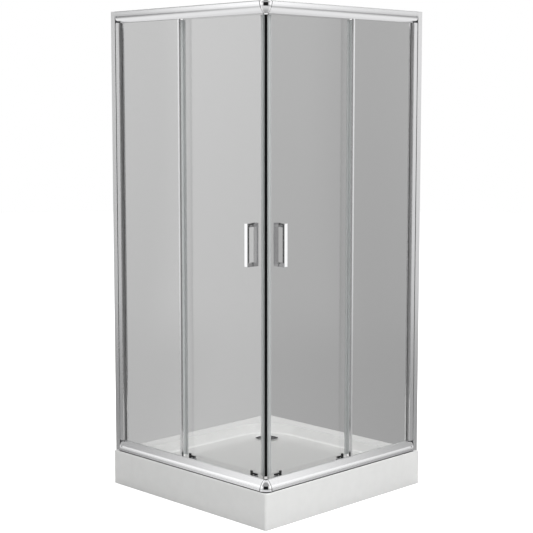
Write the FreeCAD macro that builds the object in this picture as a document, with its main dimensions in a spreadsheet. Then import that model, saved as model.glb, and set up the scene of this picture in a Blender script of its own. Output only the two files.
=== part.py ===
import FreeCAD, Part
import math
import os
import Sketcher

# Corner-entry shower enclosure on a square tray, with one sliding glass door on each open side.
# Millimetres, +Z up. The origin is on the floor, under the middle of the tray.
#
# The two open sides meet at the front corner, which is at (+X, -Y). The left side runs along
# the tray's -Y edge to the wall at -X, and the right side along the +X edge to the wall at +Y.
# The left side is drawn with two distances:
#   along  how far a place is from the front corner, measured along the side (towards -X)
#   deep   how far a place is behind the tray's outer face (towards +Y)
# The right side is the left side's mirror image in the upright plane through the front corner.

doc = FreeCAD.newDocument("ShowerEnclosure")

# ---------------------------------------------------------------- driving sizes, in millimetres

SIZES = {
    # tray
    "tray_side": 900,
    "tray_height": 140,
    "tray_wall": 4,
    "tray_corner_radius": 10,
    "tray_edge_radius": 4,
    "tray_wall_lip": 60,
    "basin_margin": 76,
    "basin_depth": 38,
    "basin_slope": 24,
    "basin_back_radius": 200,
    "basin_corner_radius": 60,
    "basin_floor_radius": 16,
    "board_inset": 40,
    "board_thickness": 14,
    "board_hole_play": 4,
    "foot_inset": 48,
    "foot_stud_radius": 6,
    "foot_nut_radius": 10,
    "foot_nut_height": 8,
    "foot_pad_radius": 24,
    "foot_pad_height": 12,
    "foot_socket_depth": 7,
    # waste
    "waste_inset": 212,
    "waste_hole_radius": 45,
    "waste_flange_radius": 47,
    "waste_flange_thickness": 2.5,
    "waste_tube_radius": 43,
    "waste_bore_radius": 39,
    "waste_tube_length": 34,
    "waste_seal_radius": 58,
    "waste_seal_thickness": 3,
    "cover_radius": 49,
    "cover_rise": 7,
    "cover_rim": 2.2,
    "cup_radius": 35,
    "cup_wall": 2,
    "cup_depth": 52,
    "cup_rim_drop": 4,
    "cup_leg_grip": 3,
    "cup_ear_width": 8,
    "cup_ear_inset": 3,
    "trap_radius": 58,
    "trap_wall": 3,
    "trap_bottom": 20,
    "outlet_height": 46,
    "outlet_radius": 20,
    "outlet_bore": 17.5,
    "outlet_length": 55,
    "collar_length": 8,
    "collar_rim": 4,
    # frame
    "enclosure_height": 1800,
    "rail_inset": 5,
    "rail_depth": 46,
    "rail_height": 45,
    "rail_wall": 1.6,
    "rail_upright": 12,
    "rebate_height": 3,
    "rebate_depth": 3,
    "rail_end_gap": 3,
    "corner_radius": 30,
    "mitre_gap": 0.15,
    "tongue_length": 36,
    "tongue_play": 0.6,
    "cap_thickness": 2,
    "cap_half_width": 23.6,
    "cap_height": 53,
    "glass_thickness": 5,
    "fixed_glass_deep": 22,
    "glass_overlap": 12,
    "slot_play": 1,
    "slot_depth": 13,
    "rib_deep": 38,
    "rib_thickness": 2,
    "rib_tip_height": 30,
    "roof_height": 34.4,
    "wall_inset": 6,
    "wall_profile_reach": 25,
    "side_profile_show": 22,
    "side_profile_deep": 10.2,
    "side_profile_depth": 29.4,
    "side_profile_overlap": 20,
    "groove_depth": 16,
    "profile_wall": 1.6,
    "telescope_play": 0.2,
    "wall_screw_radius": 3.25,
    "wall_screw_outer": 750,
    "wall_screw_inner": 250,
    "join_screw_spread": 700,
    "screw_radius": 2,
    "screw_head_radius": 3.6,
    "screw_head_height": 2,
    "screw_head_sink": 0.3,
    "screw_tip_room": 2,
    "end_screw_height": 22,
    "end_screw_inset": 12,
    "end_foot_reach": 12,
    "end_post_lead": 1.5,
    "end_post_height": 90,
    "gasket_wall": 1.4,
    "gasket_show": 5,
    "gasket_play": 0.1,
    "edge_profile_width": 8,
    "edge_profile_depth": 9,
    # doors
    "door_glass_deep": 52,
    "door_glass_start": 66,
    "door_past_middle": 56,
    "door_glass_bottom": 12,
    "open_gap": 2.4,
    "front_wheel_inset": 44,
    "rear_wheel_inset": 47,
    "wheel_radius": 11.5,
    "wheel_width": 7,
    "wheel_groove_radius": 9.45,
    "wheel_groove_width": 2.4,
    "axle_radius": 4,
    "axle_play": 0.06,
    "axle_head_radius": 6,
    "axle_head_thickness": 1.6,
    "running_gap": 0.05,
    "hanger_radius": 5,
    "collar_radius": 9,
    "nut_height": 9,
    "nut_roof": 3,
    "nut_chamfer": 2,
    "bolt_radius": 2.6,
    "bolt_head_radius": 4,
    "bolt_shift": 2.6,
    "bolt_play": 0.1,
    "glass_hole_play": 1,
    "magnet_start_gap": 2,
    "magnet_near": 72,
    "magnet_length": 10,
    "magnet_thickness": 5.4,
    "magnet_gap": 0.15,
    "seal_wall": 1.4,
    "seal_grip": 12,
    "rear_seal_reach": 11,
    "fin_thickness": 1.4,
    "fin_tip_deep": 31,
    "release_travel": 6,
    "release_front": 18,
    "release_back": 18,
    "release_boss": 1.6,
    "release_thickness": 5.2,
    "stem_width": 9,
    "nib_top": 57,
    "release_clear": 0.5,
    "release_bar_thickness": 5.5,
    "arm_margin": 4,
    "arm_room": 1,
    "boss_radius": 6,
    "housing_bottom": 27,
    "housing_top": 38,
    "housing_wall": 1.3,
    "spring_radius": 3,
    "spring_wire": 0.7,
    "spring_turns": 5,
    "spring_seat": 3,
    "spring_shift": 6.5,
    "pocket_play": 0.4,
    "handle_inset": 55,
    "handle_width": 17.5,
    "handle_reach": 27.5,
    "handle_bar": 9,
    "handle_post": 14,
    "handle_length": 162,
    "handle_height": 1052,
    "handle_edge_radius": 1.5,
    "handle_stud_radius": 3,
    "handle_stud_depth": 10,
    "stop_length": 10,
    "stop_drop": 6,
    "stop_play": 0.5,
    # clearances
    "touch_gap": 0.3,
    "slide_play": 0.2,
}

sheet = doc.addObject("Spreadsheet::Sheet", "Sizes")
for row, (alias, number) in enumerate(SIZES.items(), start=1):
    sheet.set("A%d" % row, alias)
    sheet.set("B%d" % row, str(number))
    sheet.setAlias("B%d" % row, alias)
doc.recompute()


class Size:
    """A length together with the spreadsheet formula that gives it."""

    def __init__(self, value, formula):
        self.value = float(value)
        self.formula = formula

    @staticmethod
    def of(thing):
        return thing if isinstance(thing, Size) else Size(thing, "(%r)" % float(thing))

    def joined(self, sign, other, value):
        return Size(value, "(%s %s %s)" % (self.formula, sign, Size.of(other).formula))

    def __add__(self, other):
        return self.joined("+", other, self.value + float(other))

    def __sub__(self, other):
        return self.joined("-", other, self.value - float(other))

    def __mul__(self, other):
        return self.joined("*", other, self.value * float(other))

    def __truediv__(self, other):
        return self.joined("/", other, self.value / float(other))

    def __radd__(self, other):
        return Size.of(other) + self

    def __rsub__(self, other):
        return Size.of(other) - self

    def __rmul__(self, other):
        return Size.of(other) * self

    def __neg__(self):
        return Size.of(0) - self

    def __float__(self):
        return self.value


def root(size):
    return Size(math.sqrt(size.value), "sqrt(%s)" % size.formula)


def cell(alias):
    return Size(sheet.get(alias), "Sizes.%s" % alias)


def bind(target, prop, size):
    target.setExpression(prop, Size.of(size).formula)


NODES = {}


def node(name, shape):
    """Names a finished sub-part; the name is also its file's name."""
    shape.Label = name
    NODES[name] = shape
    return shape


# ---------------------------------------------------------------- small building functions

X_AXIS = FreeCAD.Vector(1, 0, 0)
Y_AXIS = FreeCAD.Vector(0, 1, 0)
Z_AXIS = FreeCAD.Vector(0, 0, 1)
TURNS = {
    "X": FreeCAD.Rotation(Y_AXIS, 90),
    "Y": FreeCAD.Rotation(X_AXIS, -90),
    "Z": FreeCAD.Rotation(),
}


def place(target, x, y, z, turn=None):
    if turn is not None:
        target.Placement = FreeCAD.Placement(FreeCAD.Vector(), turn)
    bind(target, ".Placement.Base.x", x)
    bind(target, ".Placement.Base.y", y)
    bind(target, ".Placement.Base.z", z)
    return target


def box(name, x, y, z, turn=None):
    """A block between two x, two y and two z places."""
    solid = doc.addObject("Part::Box", name)
    bind(solid, "Length", x[1] - Size.of(x[0]))
    bind(solid, "Width", y[1] - Size.of(y[0]))
    bind(solid, "Height", z[1] - Size.of(z[0]))
    return place(solid, x[0], y[0], z[0], turn)


def rod(name, axis, centre, span, radius):
    """A round bar along an axis; centre holds the other two coordinates, in X, Y, Z order."""
    solid = doc.addObject("Part::Cylinder", name)
    bind(solid, "Radius", radius)
    bind(solid, "Height", span[1] - Size.of(span[0]))
    base = {
        "X": (span[0], centre[0], centre[1]),
        "Y": (centre[0], span[0], centre[1]),
        "Z": (centre[0], centre[1], span[0]),
    }[axis]
    return place(solid, *base, TURNS[axis])


def fuse(name, *pieces):
    solid = doc.addObject("Part::MultiFuse", name)
    solid.Shapes = list(pieces)
    solid.Refine = True
    return solid


def cut(name, base, *tools):
    solid = doc.addObject("Part::Cut", name)
    solid.Base = base
    solid.Tool = tools[0] if len(tools) == 1 else fuse(name + "_tools", *tools)
    return solid


def common(name, *pieces):
    solid = doc.addObject("Part::MultiCommon", name)
    solid.Shapes = list(pieces)
    return solid


def group(name, *pieces):
    """Separate solids that share one name."""
    solids = doc.addObject("Part::Compound", name)
    solids.Links = list(pieces)
    return solids


def fillet(name, base, *choices):
    """Rounds edges of a finished solid; each choice is a radius and a test that picks edges."""
    doc.recompute()
    edges = []
    for number, edge in enumerate(base.Shape.Edges, start=1):
        for radius, chosen in choices:
            if chosen(edge):
                edges.append((number, float(radius), float(radius)))
                break
    solid = doc.addObject("Part::Fillet", name)
    solid.Base = base
    solid.Edges = edges
    return solid


def mirrored(name, source, normal, height=0):
    """The mirror image in a plane through the Z axis at a height, square to the normal."""
    image = doc.addObject("Part::Mirroring", name)
    image.Source = source
    image.Normal = normal
    bind(image, "Base.z", height)
    return image


def ends_of_arc(start, end, radius):
    """The centre of an arc; a positive radius turns left on the way from start to end."""
    middle = (start + end) * 0.5
    chord = end - start
    side = FreeCAD.Vector(-chord.y, chord.x, 0).normalize()
    rise = math.sqrt(max(radius * radius - chord.Length * chord.Length / 4, 0))
    return middle + side * math.copysign(rise, radius)


def add_loop(sketch, corners, arcs=None):
    """Draws a closed outline; arcs gives the radius of the stretch after a corner."""
    arcs = arcs or {}
    count = len(corners)
    places = [FreeCAD.Vector(float(u), float(v), 0) for u, v in corners]
    first = sketch.GeometryCount
    ends = []
    for index in range(count):
        start = places[index]
        end = places[(index + 1) % count]
        if index in arcs:
            radius = float(arcs[index])
            centre = ends_of_arc(start, end, radius)
            circle = Part.Circle(centre, Z_AXIS, abs(radius))
            from_angle = math.atan2(start.y - centre.y, start.x - centre.x)
            to_angle = math.atan2(end.y - centre.y, end.x - centre.x)
            if radius > 0:
                sketch.addGeometry(Part.ArcOfCircle(circle, from_angle, to_angle))
                ends.append((1, 2))
            else:
                sketch.addGeometry(Part.ArcOfCircle(circle, to_angle, from_angle))
                ends.append((2, 1))
        else:
            sketch.addGeometry(Part.LineSegment(start, end))
            ends.append((1, 2))
    for index in range(count):
        after = (index + 1) % count
        sketch.addConstraint(
            Sketcher.Constraint("Coincident", first + index, ends[index][1], first + after, ends[after][0])
        )
    for index, (u, v) in enumerate(corners):
        for kind, size in (("DistanceX", u), ("DistanceY", v)):
            added = sketch.addConstraint(
                Sketcher.Constraint(kind, first + index, ends[index][0], float(size))
            )
            if isinstance(size, Size):
                bind(sketch, "Constraints[%d]" % added, size)
    for index, radius in arcs.items():
        added = sketch.addConstraint(Sketcher.Constraint("Radius", first + index, abs(float(radius))))
        size = Size.of(radius)
        bind(sketch, "Constraints[%d]" % added, size if size.value > 0 else -size)


def profile_body(name, plane, loops, corner, turn=None):
    """A body with one sketch on an origin plane; each loop is its corners and its arcs."""
    body = doc.addObject("PartDesign::Body", name)
    place(body, *corner, turn)
    sketch = body.newObject("Sketcher::SketchObject", name + "_outline")
    origin_plane = [item for item in body.Origin.OriginFeatures if item.Role == plane][0]
    sketch.AttachmentSupport = [(origin_plane, "")]
    sketch.MapMode = "FlatFace"
    for corners, arcs in loops:
        add_loop(sketch, corners, arcs)
    return body, sketch


def pad(name, plane, loops, corner, length, backwards=False, turn=None):
    body, sketch = profile_body(name, plane, loops, corner, turn)
    feature = body.newObject("PartDesign::Pad", name + "_pad")
    feature.Profile = sketch
    feature.Reversed = backwards
    bind(feature, "Length", length)
    sketch.Visibility = False
    return body


def revolve(name, plane, loops, corner, axis="V_Axis", angle=360, backwards=False):
    body, sketch = profile_body(name, plane, loops, corner)
    feature = body.newObject("PartDesign::Revolution", name + "_revolution")
    feature.Profile = sketch
    feature.ReferenceAxis = (sketch, [axis])
    feature.Angle = angle
    feature.Reversed = backwards
    return body


# ---------------------------------------------------------------- places shared by many pieces

half = cell("tray_side") / 2
tray_top = cell("tray_height")
top = tray_top + cell("enclosure_height")
middle_height = tray_top + cell("enclosure_height") / 2
glass = cell("glass_thickness")
DIAGONAL = FreeCAD.Vector(1, 1, 0)
ROOT_TWO = math.sqrt(2)


def at_along(along):
    return half - along


def at_deep(deep):
    return Size.of(deep) - half


def side_box(name, along, deep, z):
    return box(name, (at_along(along[1]), at_along(along[0])), (at_deep(deep[0]), at_deep(deep[1])), z)


def side_rod(name, along, z, deep, radius):
    """A round bar square to the left side."""
    return rod(name, "Y", (at_along(along), z), (at_deep(deep[0]), at_deep(deep[1])), radius)


def diagonal_box(name, inward, aside, z):
    """A block set on the diagonal: inward runs from the front corner, aside to the left side."""
    reach = Size.of(inward[0])
    offset = Size.of(aside[0])
    x = half - (reach + offset) / ROOT_TWO
    y = (reach - offset) / ROOT_TWO - half
    solid = doc.addObject("Part::Box", name)
    bind(solid, "Length", inward[1] - reach)
    bind(solid, "Width", aside[1] - offset)
    bind(solid, "Height", z[1] - Size.of(z[0]))
    return place(solid, x, y, z[0], FreeCAD.Rotation(Z_AXIS, 135))


def both_sides(name, left):
    """Names the left piece and makes its mirror image for the right side."""
    node(name + "_left", left)
    right = mirrored(name + "_mirror", left, DIAGONAL)
    node(name + "_right", right)


def four_ways(left):
    """A frame piece's solids at the bottom and top of both sides."""
    upper = mirrored(left.Name + "_upper", left, Z_AXIS, middle_height)
    lower_right = mirrored(left.Name + "_right", left, DIAGONAL)
    upper_right = mirrored(left.Name + "_upper_right", upper, DIAGONAL)
    return [left, upper, lower_right, upper_right]


# ---------------------------------------------------------------- tray

basin_floor = tray_top - cell("basin_depth")
tray_wall = cell("tray_wall")
basin_underside = basin_floor - tray_wall
waste_y = half - cell("waste_inset")
waste_x = -waste_y
OVERSHOOT = 2


def is_upright(edge):
    first, last = edge.Vertexes[0].Point, edge.Vertexes[-1].Point
    return abs(first.z - last.z) > 0.5 * edge.Length


def dish(name, grow, floor, over):
    """The basin's sunk form: slanted walls, a wide round back corner and a soft floor edge."""
    slant = cell("basin_slope") / cell("basin_depth")
    high = half - cell("basin_margin") + grow + slant * over
    low = high - slant * (tray_top + over - floor)
    wedge = doc.addObject("Part::Wedge", name + "_wedge")
    for prop, size in (("Xmin", -low), ("Xmax", low), ("Zmin", -low), ("Zmax", low)):
        bind(wedge, prop, size)
    for prop, size in (("X2min", -high), ("X2max", high), ("Z2min", -high), ("Z2max", high)):
        bind(wedge, prop, size)
    bind(wedge, "Ymin", 0)
    bind(wedge, "Ymax", tray_top + over - floor)
    place(wedge, 0, 0, floor, FreeCAD.Rotation(X_AXIS, 90))

    def at_back(edge):
        centre = edge.CenterOfMass
        return is_upright(edge) and centre.x < 0 < centre.y

    def at_floor(edge):
        return abs(edge.CenterOfMass.z - float(floor)) < 0.1

    return fillet(
        name,
        wedge,
        (cell("basin_back_radius") + grow, at_back),
        (cell("basin_corner_radius") + grow, is_upright),
        (cell("basin_floor_radius") + grow, at_floor),
    )


tray_block = box("tray_block", (-half, half), (-half, half), (0, tray_top))
tray_rounded = fillet(
    "tray_rounded",
    tray_block,
    (cell("tray_corner_radius"), is_upright),
    (cell("tray_edge_radius"), lambda edge: abs(edge.CenterOfMass.z - float(tray_top)) < 0.1),
)
inner_half = half - tray_wall
lip_bottom = tray_top - cell("tray_wall_lip")
tray_hollow = box(
    "tray_hollow", (-inner_half, inner_half), (-inner_half, inner_half), (-OVERSHOOT, tray_top - tray_wall)
)
below_lip = (-OVERSHOOT, lip_bottom)
left_relief = box(
    "left_relief",
    (-half - OVERSHOOT, -inner_half + OVERSHOOT),
    (-inner_half, half + OVERSHOOT),
    below_lip,
)
back_relief = box(
    "back_relief",
    (-half - OVERSHOOT, inner_half),
    (inner_half - OVERSHOOT, half + OVERSHOOT),
    below_lip,
)
tray_skin = cut("tray_skin", tray_rounded, tray_hollow, left_relief, back_relief)
dish_outside = dish("dish_outside", tray_wall, basin_underside, 0)
dish_inside = dish("dish_inside", Size.of(0), basin_floor, OVERSHOOT)
waste_hole = rod(
    "waste_hole",
    "Z",
    (waste_x, waste_y),
    (basin_underside - OVERSHOOT, basin_floor + OVERSHOOT),
    cell("waste_hole_radius"),
)
tray_filled = fuse("tray_filled", tray_skin, dish_outside)
node("tray_shell", cut("tray_shell_solid", tray_filled, dish_inside, waste_hole))

# A board glued under the basin carries the feet.
board_half = half - cell("basin_margin") - cell("basin_slope") - cell("board_inset")
board_top = basin_underside
board_bottom = board_top - cell("board_thickness")
board_span = (board_bottom, board_top)
board_block = box("board_block", (-board_half, board_half), (-board_half, board_half), board_span)
waste_room = rod(
    "waste_room",
    "Z",
    (waste_x, waste_y),
    (board_bottom - OVERSHOOT, board_top + OVERSHOOT),
    cell("waste_seal_radius") + cell("board_hole_play"),
)
spread = board_half - cell("foot_inset")
FOOT_PLACES = [(1, 1), (1, -1), (-1, -1), (-0.15, 1), (-1, 0.15), (0, 0)]
pad_top = cell("foot_pad_height")
socket_floor = pad_top - cell("foot_socket_depth")
stud_radius = cell("foot_stud_radius")
nut_bottom = board_bottom - cell("foot_nut_height")
foot_holes = []
studs = []
pads = []
for number, (across, back) in enumerate(FOOT_PLACES, start=1):
    centre = (spread * across, spread * back)
    foot_holes.append(
        rod("foot_hole_%d" % number, "Z", centre, board_span, stud_radius + cell("axle_play"))
    )
    shank = rod("stud_shank_%d" % number, "Z", centre, (socket_floor, board_top), stud_radius)
    nut = rod("stud_nut_%d" % number, "Z", centre, (nut_bottom, board_bottom), cell("foot_nut_radius"))
    studs.append(fuse("stud_%d" % number, shank, nut))
    pad_block = rod("pad_block_%d" % number, "Z", centre, (0, pad_top), cell("foot_pad_radius"))
    socket = rod(
        "pad_socket_%d" % number,
        "Z",
        centre,
        (socket_floor, pad_top + OVERSHOOT),
        stud_radius + cell("axle_play"),
    )
    pads.append(cut("foot_pad_%d" % number, pad_block, socket))
node("tray_board", cut("board_solid", board_block, waste_room, *foot_holes))
node("tray_foot_studs", group("foot_stud_group", *studs))
node("tray_foot_pads", group("foot_pad_group", *pads))

# ---------------------------------------------------------------- waste and trap

flange_top = basin_floor + cell("waste_flange_thickness")
tube_bottom = basin_floor - cell("waste_tube_length")
bore = cell("waste_bore_radius")
tube = cell("waste_tube_radius")
flange_outline = [
    (bore, tube_bottom),
    (tube, tube_bottom),
    (tube, basin_floor),
    (cell("waste_flange_radius"), basin_floor),
    (cell("waste_flange_radius"), flange_top),
    (bore, flange_top),
]
waste_corner = (waste_x, waste_y, Size.of(0))
node("waste_flange", revolve("flange_body", "XZ_Plane", [(flange_outline, None)], waste_corner))

seal_radius = cell("waste_seal_radius")
seal_bottom = basin_underside - cell("waste_seal_thickness")
seal_outline = [
    (cell("waste_hole_radius"), seal_bottom),
    (seal_radius, seal_bottom),
    (seal_radius, basin_underside),
    (cell("waste_hole_radius"), basin_underside),
]
node("waste_seal", revolve("seal_body", "XZ_Plane", [(seal_outline, None)], waste_corner))

trap_radius = cell("trap_radius")
trap_wall = cell("trap_wall")
trap_floor = cell("trap_bottom")
trap_outline = [
    (0, trap_floor),
    (trap_radius, trap_floor),
    (trap_radius, seal_bottom),
    (tube + cell("slide_play"), seal_bottom),
    (tube + cell("slide_play"), seal_bottom - trap_wall),
    (trap_radius - trap_wall, seal_bottom - trap_wall),
    (trap_radius - trap_wall, trap_floor + trap_wall),
    (0, trap_floor + trap_wall),
]
trap_bowl = revolve("trap_bowl", "XZ_Plane", [(trap_outline, None)], waste_corner)
trap_side = waste_x - trap_radius
outlet_root = trap_side + trap_wall
outlet_end = trap_side - cell("outlet_length")
outlet_centre = (waste_y, cell("outlet_height"))
outlet_radius = cell("outlet_radius")
outlet_pipe = rod("outlet_pipe", "X", outlet_centre, (outlet_end, outlet_root), outlet_radius)
outlet_collar = rod(
    "outlet_collar",
    "X",
    outlet_centre,
    (trap_side - cell("collar_length"), outlet_root),
    outlet_radius + cell("collar_rim"),
)
outlet_way = rod(
    "outlet_way",
    "X",
    outlet_centre,
    (outlet_end - OVERSHOOT, outlet_root + trap_wall * 2),
    cell("outlet_bore"),
)
node("trap_body", cut("trap_solid", fuse("trap_filled", trap_bowl, outlet_pipe, outlet_collar), outlet_way))

# The cup hangs in the flange on three ears, and the domed cover sits on them.
cup_radius = cell("cup_radius")
cup_wall = cell("cup_wall")
ear_bottom = flange_top + cell("touch_gap")
ear_top = ear_bottom + cup_wall / 2
cup_rim = flange_top - cell("cup_rim_drop")
cup_bottom = ear_top - cell("cup_depth")
cup_outline = [
    (0, cup_bottom),
    (cup_radius, cup_bottom),
    (cup_radius, cup_rim),
    (cup_radius - cup_wall, cup_rim),
    (cup_radius - cup_wall, cup_bottom + cup_wall),
    (0, cup_bottom + cup_wall),
]
cup_parts = [revolve("cup_body", "XZ_Plane", [(cup_outline, None)], waste_corner)]
ear_end = cell("waste_flange_radius") - cell("cup_ear_inset")
ear_half = cell("cup_ear_width") / 2
leg_bottom = cup_rim - cell("cup_leg_grip")
for number, turn in enumerate((0, 120, 240), start=1):
    heading = FreeCAD.Rotation(Z_AXIS, turn)
    for part_name, span, height in (
        ("ear", (cup_radius - cup_wall, ear_end), (ear_bottom, ear_top)),
        ("leg", (cup_radius - cup_wall, cup_radius), (leg_bottom, ear_top)),
    ):
        block = doc.addObject("Part::Box", "cup_%s_%d" % (part_name, number))
        bind(block, "Length", span[1] - span[0])
        bind(block, "Width", cell("cup_ear_width"))
        bind(block, "Height", height[1] - height[0])
        start = heading.multVec(FreeCAD.Vector(1, 0, 0))
        side = heading.multVec(FreeCAD.Vector(0, 1, 0))
        place(
            block,
            waste_x + span[0] * start.x - side.x * ear_half,
            waste_y + span[0] * start.y - side.y * ear_half,
            height[0],
            heading,
        )
        cup_parts.append(block)
cup_solid = fuse("cup_solid", *cup_parts)
cup_solid.Refine = False
node("trap_cup", cup_solid)

cover_radius = cell("cover_radius")
cover_rise = cell("cover_rise")
cover_edge = ear_top + cell("cover_rim")
cover_outline = [
    (0, ear_top),
    (cover_radius, ear_top),
    (cover_radius, cover_edge),
    (0, cover_edge + cover_rise),
]
dome_radius = (cover_radius * cover_radius + cover_rise * cover_rise) / (2 * cover_rise)
node("drain_cover", revolve("cover_body", "XZ_Plane", [(cover_outline, {2: dome_radius})], waste_corner))

# ---------------------------------------------------------------- rails

rail_front = cell("rail_inset")
rail_back = rail_front + cell("rail_depth")
rail_wall = cell("rail_wall")
rail_height = cell("rail_height")
upright = cell("rail_upright")
slot_near = cell("fixed_glass_deep") - cell("slot_play")
slot_far = cell("fixed_glass_deep") + glass + cell("slot_play")
slot_floor = rail_height - cell("slot_depth")
lip_deep = slot_near - rail_wall
web_far = slot_far + rail_wall
bulge = lip_deep - rail_front
bulge_rise = rail_height - upright
bulge_radius = (bulge * bulge + bulge_rise * bulge_rise) / (2 * bulge)
roof = cell("roof_height")
rib_near = cell("rib_deep")
rib_far = rib_near + cell("rib_thickness")
rib_tip = cell("rib_tip_height")
chamber_top = slot_floor - rail_wall
chamber_radius = bulge_radius - rail_wall
chamber_corner = (
    rail_front
    + bulge_radius
    - root(chamber_radius * chamber_radius - (chamber_top - upright) * (chamber_top - upright))
)
rebate_height = cell("rebate_height")
rebate_back = rail_front + cell("rebate_depth")
rail_outline = [
    (rebate_back, 0),
    (rail_back, 0),
    (rail_back, rail_wall),
    (web_far, rail_wall),
    (web_far, roof),
    (rib_near, roof),
    (rib_near, rib_tip),
    (rib_far, rib_tip),
    (rib_far, roof + rail_wall),
    (web_far, roof + rail_wall),
    (web_far, rail_height),
    (slot_far, rail_height),
    (slot_far, slot_floor),
    (slot_near, slot_floor),
    (slot_near, rail_height),
    (lip_deep, rail_height),
    (rail_front, upright),
    (rail_front, rebate_height),
    (rebate_back, rebate_height),
]
chamber_outline = [
    (rebate_back + rail_wall, rail_wall),
    (slot_far, rail_wall),
    (slot_far, chamber_top),
    (chamber_corner, chamber_top),
    (rail_front + rail_wall, upright),
    (rail_front + rail_wall, rebate_height + rail_wall),
    (rebate_back + rail_wall, rebate_height + rail_wall),
]
corner_axis = rail_front + cell("corner_radius")
wall_face = cell("tray_side") - cell("wall_inset")
wall_profile_start = wall_face - cell("wall_profile_reach")
rail_end = wall_profile_start - cell("rail_end_gap")
rail_bar = pad(
    "rail_bar",
    "YZ_Plane",
    [(rail_outline, {15: bulge_radius}), (chamber_outline, {3: chamber_radius})],
    (at_along(rail_end), -half, tray_top),
    rail_end - corner_axis,
)
rail_span = (tray_top - OVERSHOOT, tray_top + rail_height + OVERSHOOT)
mitre_tool = diagonal_box(
    "mitre_tool", (0, rail_back * 3), (-rail_back * 2, cell("mitre_gap") / 2), rail_span
)
end_screw_along = rail_end - cell("end_screw_inset")
end_screw_z = tray_top + cell("end_screw_height")
head_radius = cell("screw_head_radius")
head_height = cell("screw_head_height")
screw_radius = cell("screw_radius")
curve_back = cell("end_screw_height") - upright
end_screw_seat = rail_front + bulge_radius - root(bulge_radius * bulge_radius - curve_back * curve_back)
head_seat = end_screw_seat + cell("screw_head_sink")
head_recess = side_rod(
    "head_recess", end_screw_along, end_screw_z, (0, head_seat), head_radius + cell("slide_play")
)
shank_hole = side_rod(
    "shank_hole", end_screw_along, end_screw_z, (0, slot_near), screw_radius + cell("slide_play")
)
bottom_rail = cut("bottom_rail_solid", rail_bar, mitre_tool, head_recess, shank_hole)
both_sides("bottom_rail", bottom_rail)
both_sides("top_rail", mirrored("top_rail_solid", bottom_rail, Z_AXIS, middle_height))

# ---------------------------------------------------------------- front corner

# The block turns the rails' outer form round the corner and reaches into both rails.
block_outline = [
    (corner_axis - web_far, 0),
    (corner_axis - rebate_back, 0),
    (corner_axis - rebate_back, rebate_height),
    (corner_axis - rail_front, rebate_height),
    (corner_axis - rail_front, upright),
    (corner_axis - lip_deep, rail_height),
    (corner_axis - web_far, rail_height),
]
block_corner = (at_along(corner_axis), at_deep(corner_axis), tray_top)
corner_turn = revolve(
    "corner_turn", "XZ_Plane", [(block_outline, {4: bulge_radius})], block_corner, "V_Axis", 90, True
)
tongue_deep = (chamber_corner + cell("tongue_play"), slot_far - cell("touch_gap"))
tongue_span = (tray_top + rail_wall, tray_top + chamber_top - cell("touch_gap"))
tongue_along = (corner_axis, corner_axis + cell("tongue_length"))
tongue_left = side_box("tongue_left", tongue_along, tongue_deep, tongue_span)
tongue_right = mirrored("tongue_right", tongue_left, DIAGONAL)
corner_block = fuse("corner_block", corner_turn, tongue_left, tongue_right)
corner_block_upper = mirrored("corner_block_upper", corner_block, Z_AXIS, middle_height)
node("corner_blocks", group("corner_block_group", corner_block, corner_block_upper))

# The chrome cap is a thin shell over the block, cut to a bullet outline.
cap_thickness = cell("cap_thickness")
cap_outline = [
    (corner_axis - rail_front, rebate_height),
    (corner_axis - rail_front + cap_thickness, rebate_height),
    (corner_axis - rail_front + cap_thickness, upright),
    (corner_axis - lip_deep, rail_height + cap_thickness),
    (corner_axis - lip_deep, rail_height),
    (corner_axis - rail_front, upright),
]
cap_bulge = bulge + cap_thickness
cap_rise = bulge_rise + cap_thickness
cap_radius = (cap_bulge * cap_bulge + cap_rise * cap_rise) / (2 * cap_bulge)
cap_turn = revolve(
    "cap_turn",
    "XZ_Plane",
    [(cap_outline, {2: cap_radius, 4: -bulge_radius})],
    block_corner,
    "V_Axis",
    90,
    True,
)
cap_width = cell("cap_half_width")
cap_height = cell("cap_height")
bullet_radius = (cap_width * cap_width + cap_height * cap_height) / (2 * cap_width)
bullet_outline = [(-cap_width, 0), (cap_width, 0), (0, cap_height)]
bullet = pad(
    "bullet",
    "XZ_Plane",
    [(bullet_outline, {1: bullet_radius, 2: bullet_radius})],
    (at_along(0), at_deep(0), tray_top),
    corner_axis * ROOT_TWO,
    True,
    FreeCAD.Rotation(Z_AXIS, 45),
)
corner_cap = common("corner_cap", cap_turn, bullet)
corner_cap_upper = mirrored("corner_cap_upper", corner_cap, Z_AXIS, middle_height)
node("corner_caps", group("corner_cap_group", corner_cap, corner_cap_upper))

# ---------------------------------------------------------------- wall and side profiles

play = cell("telescope_play")
side_start = wall_profile_start - cell("side_profile_show")
side_near = cell("side_profile_deep")
side_far = side_near + cell("side_profile_depth")
side_end = wall_profile_start + cell("side_profile_overlap")
profile_wall = cell("profile_wall")
wall_near = side_near - play - profile_wall
wall_far = side_far + play + profile_wall


def from_wall(outline):
    """Turns along and deep places into a sketch whose corner is at the wall's face."""
    return [(wall_face - along, deep) for along, deep in outline]


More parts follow.
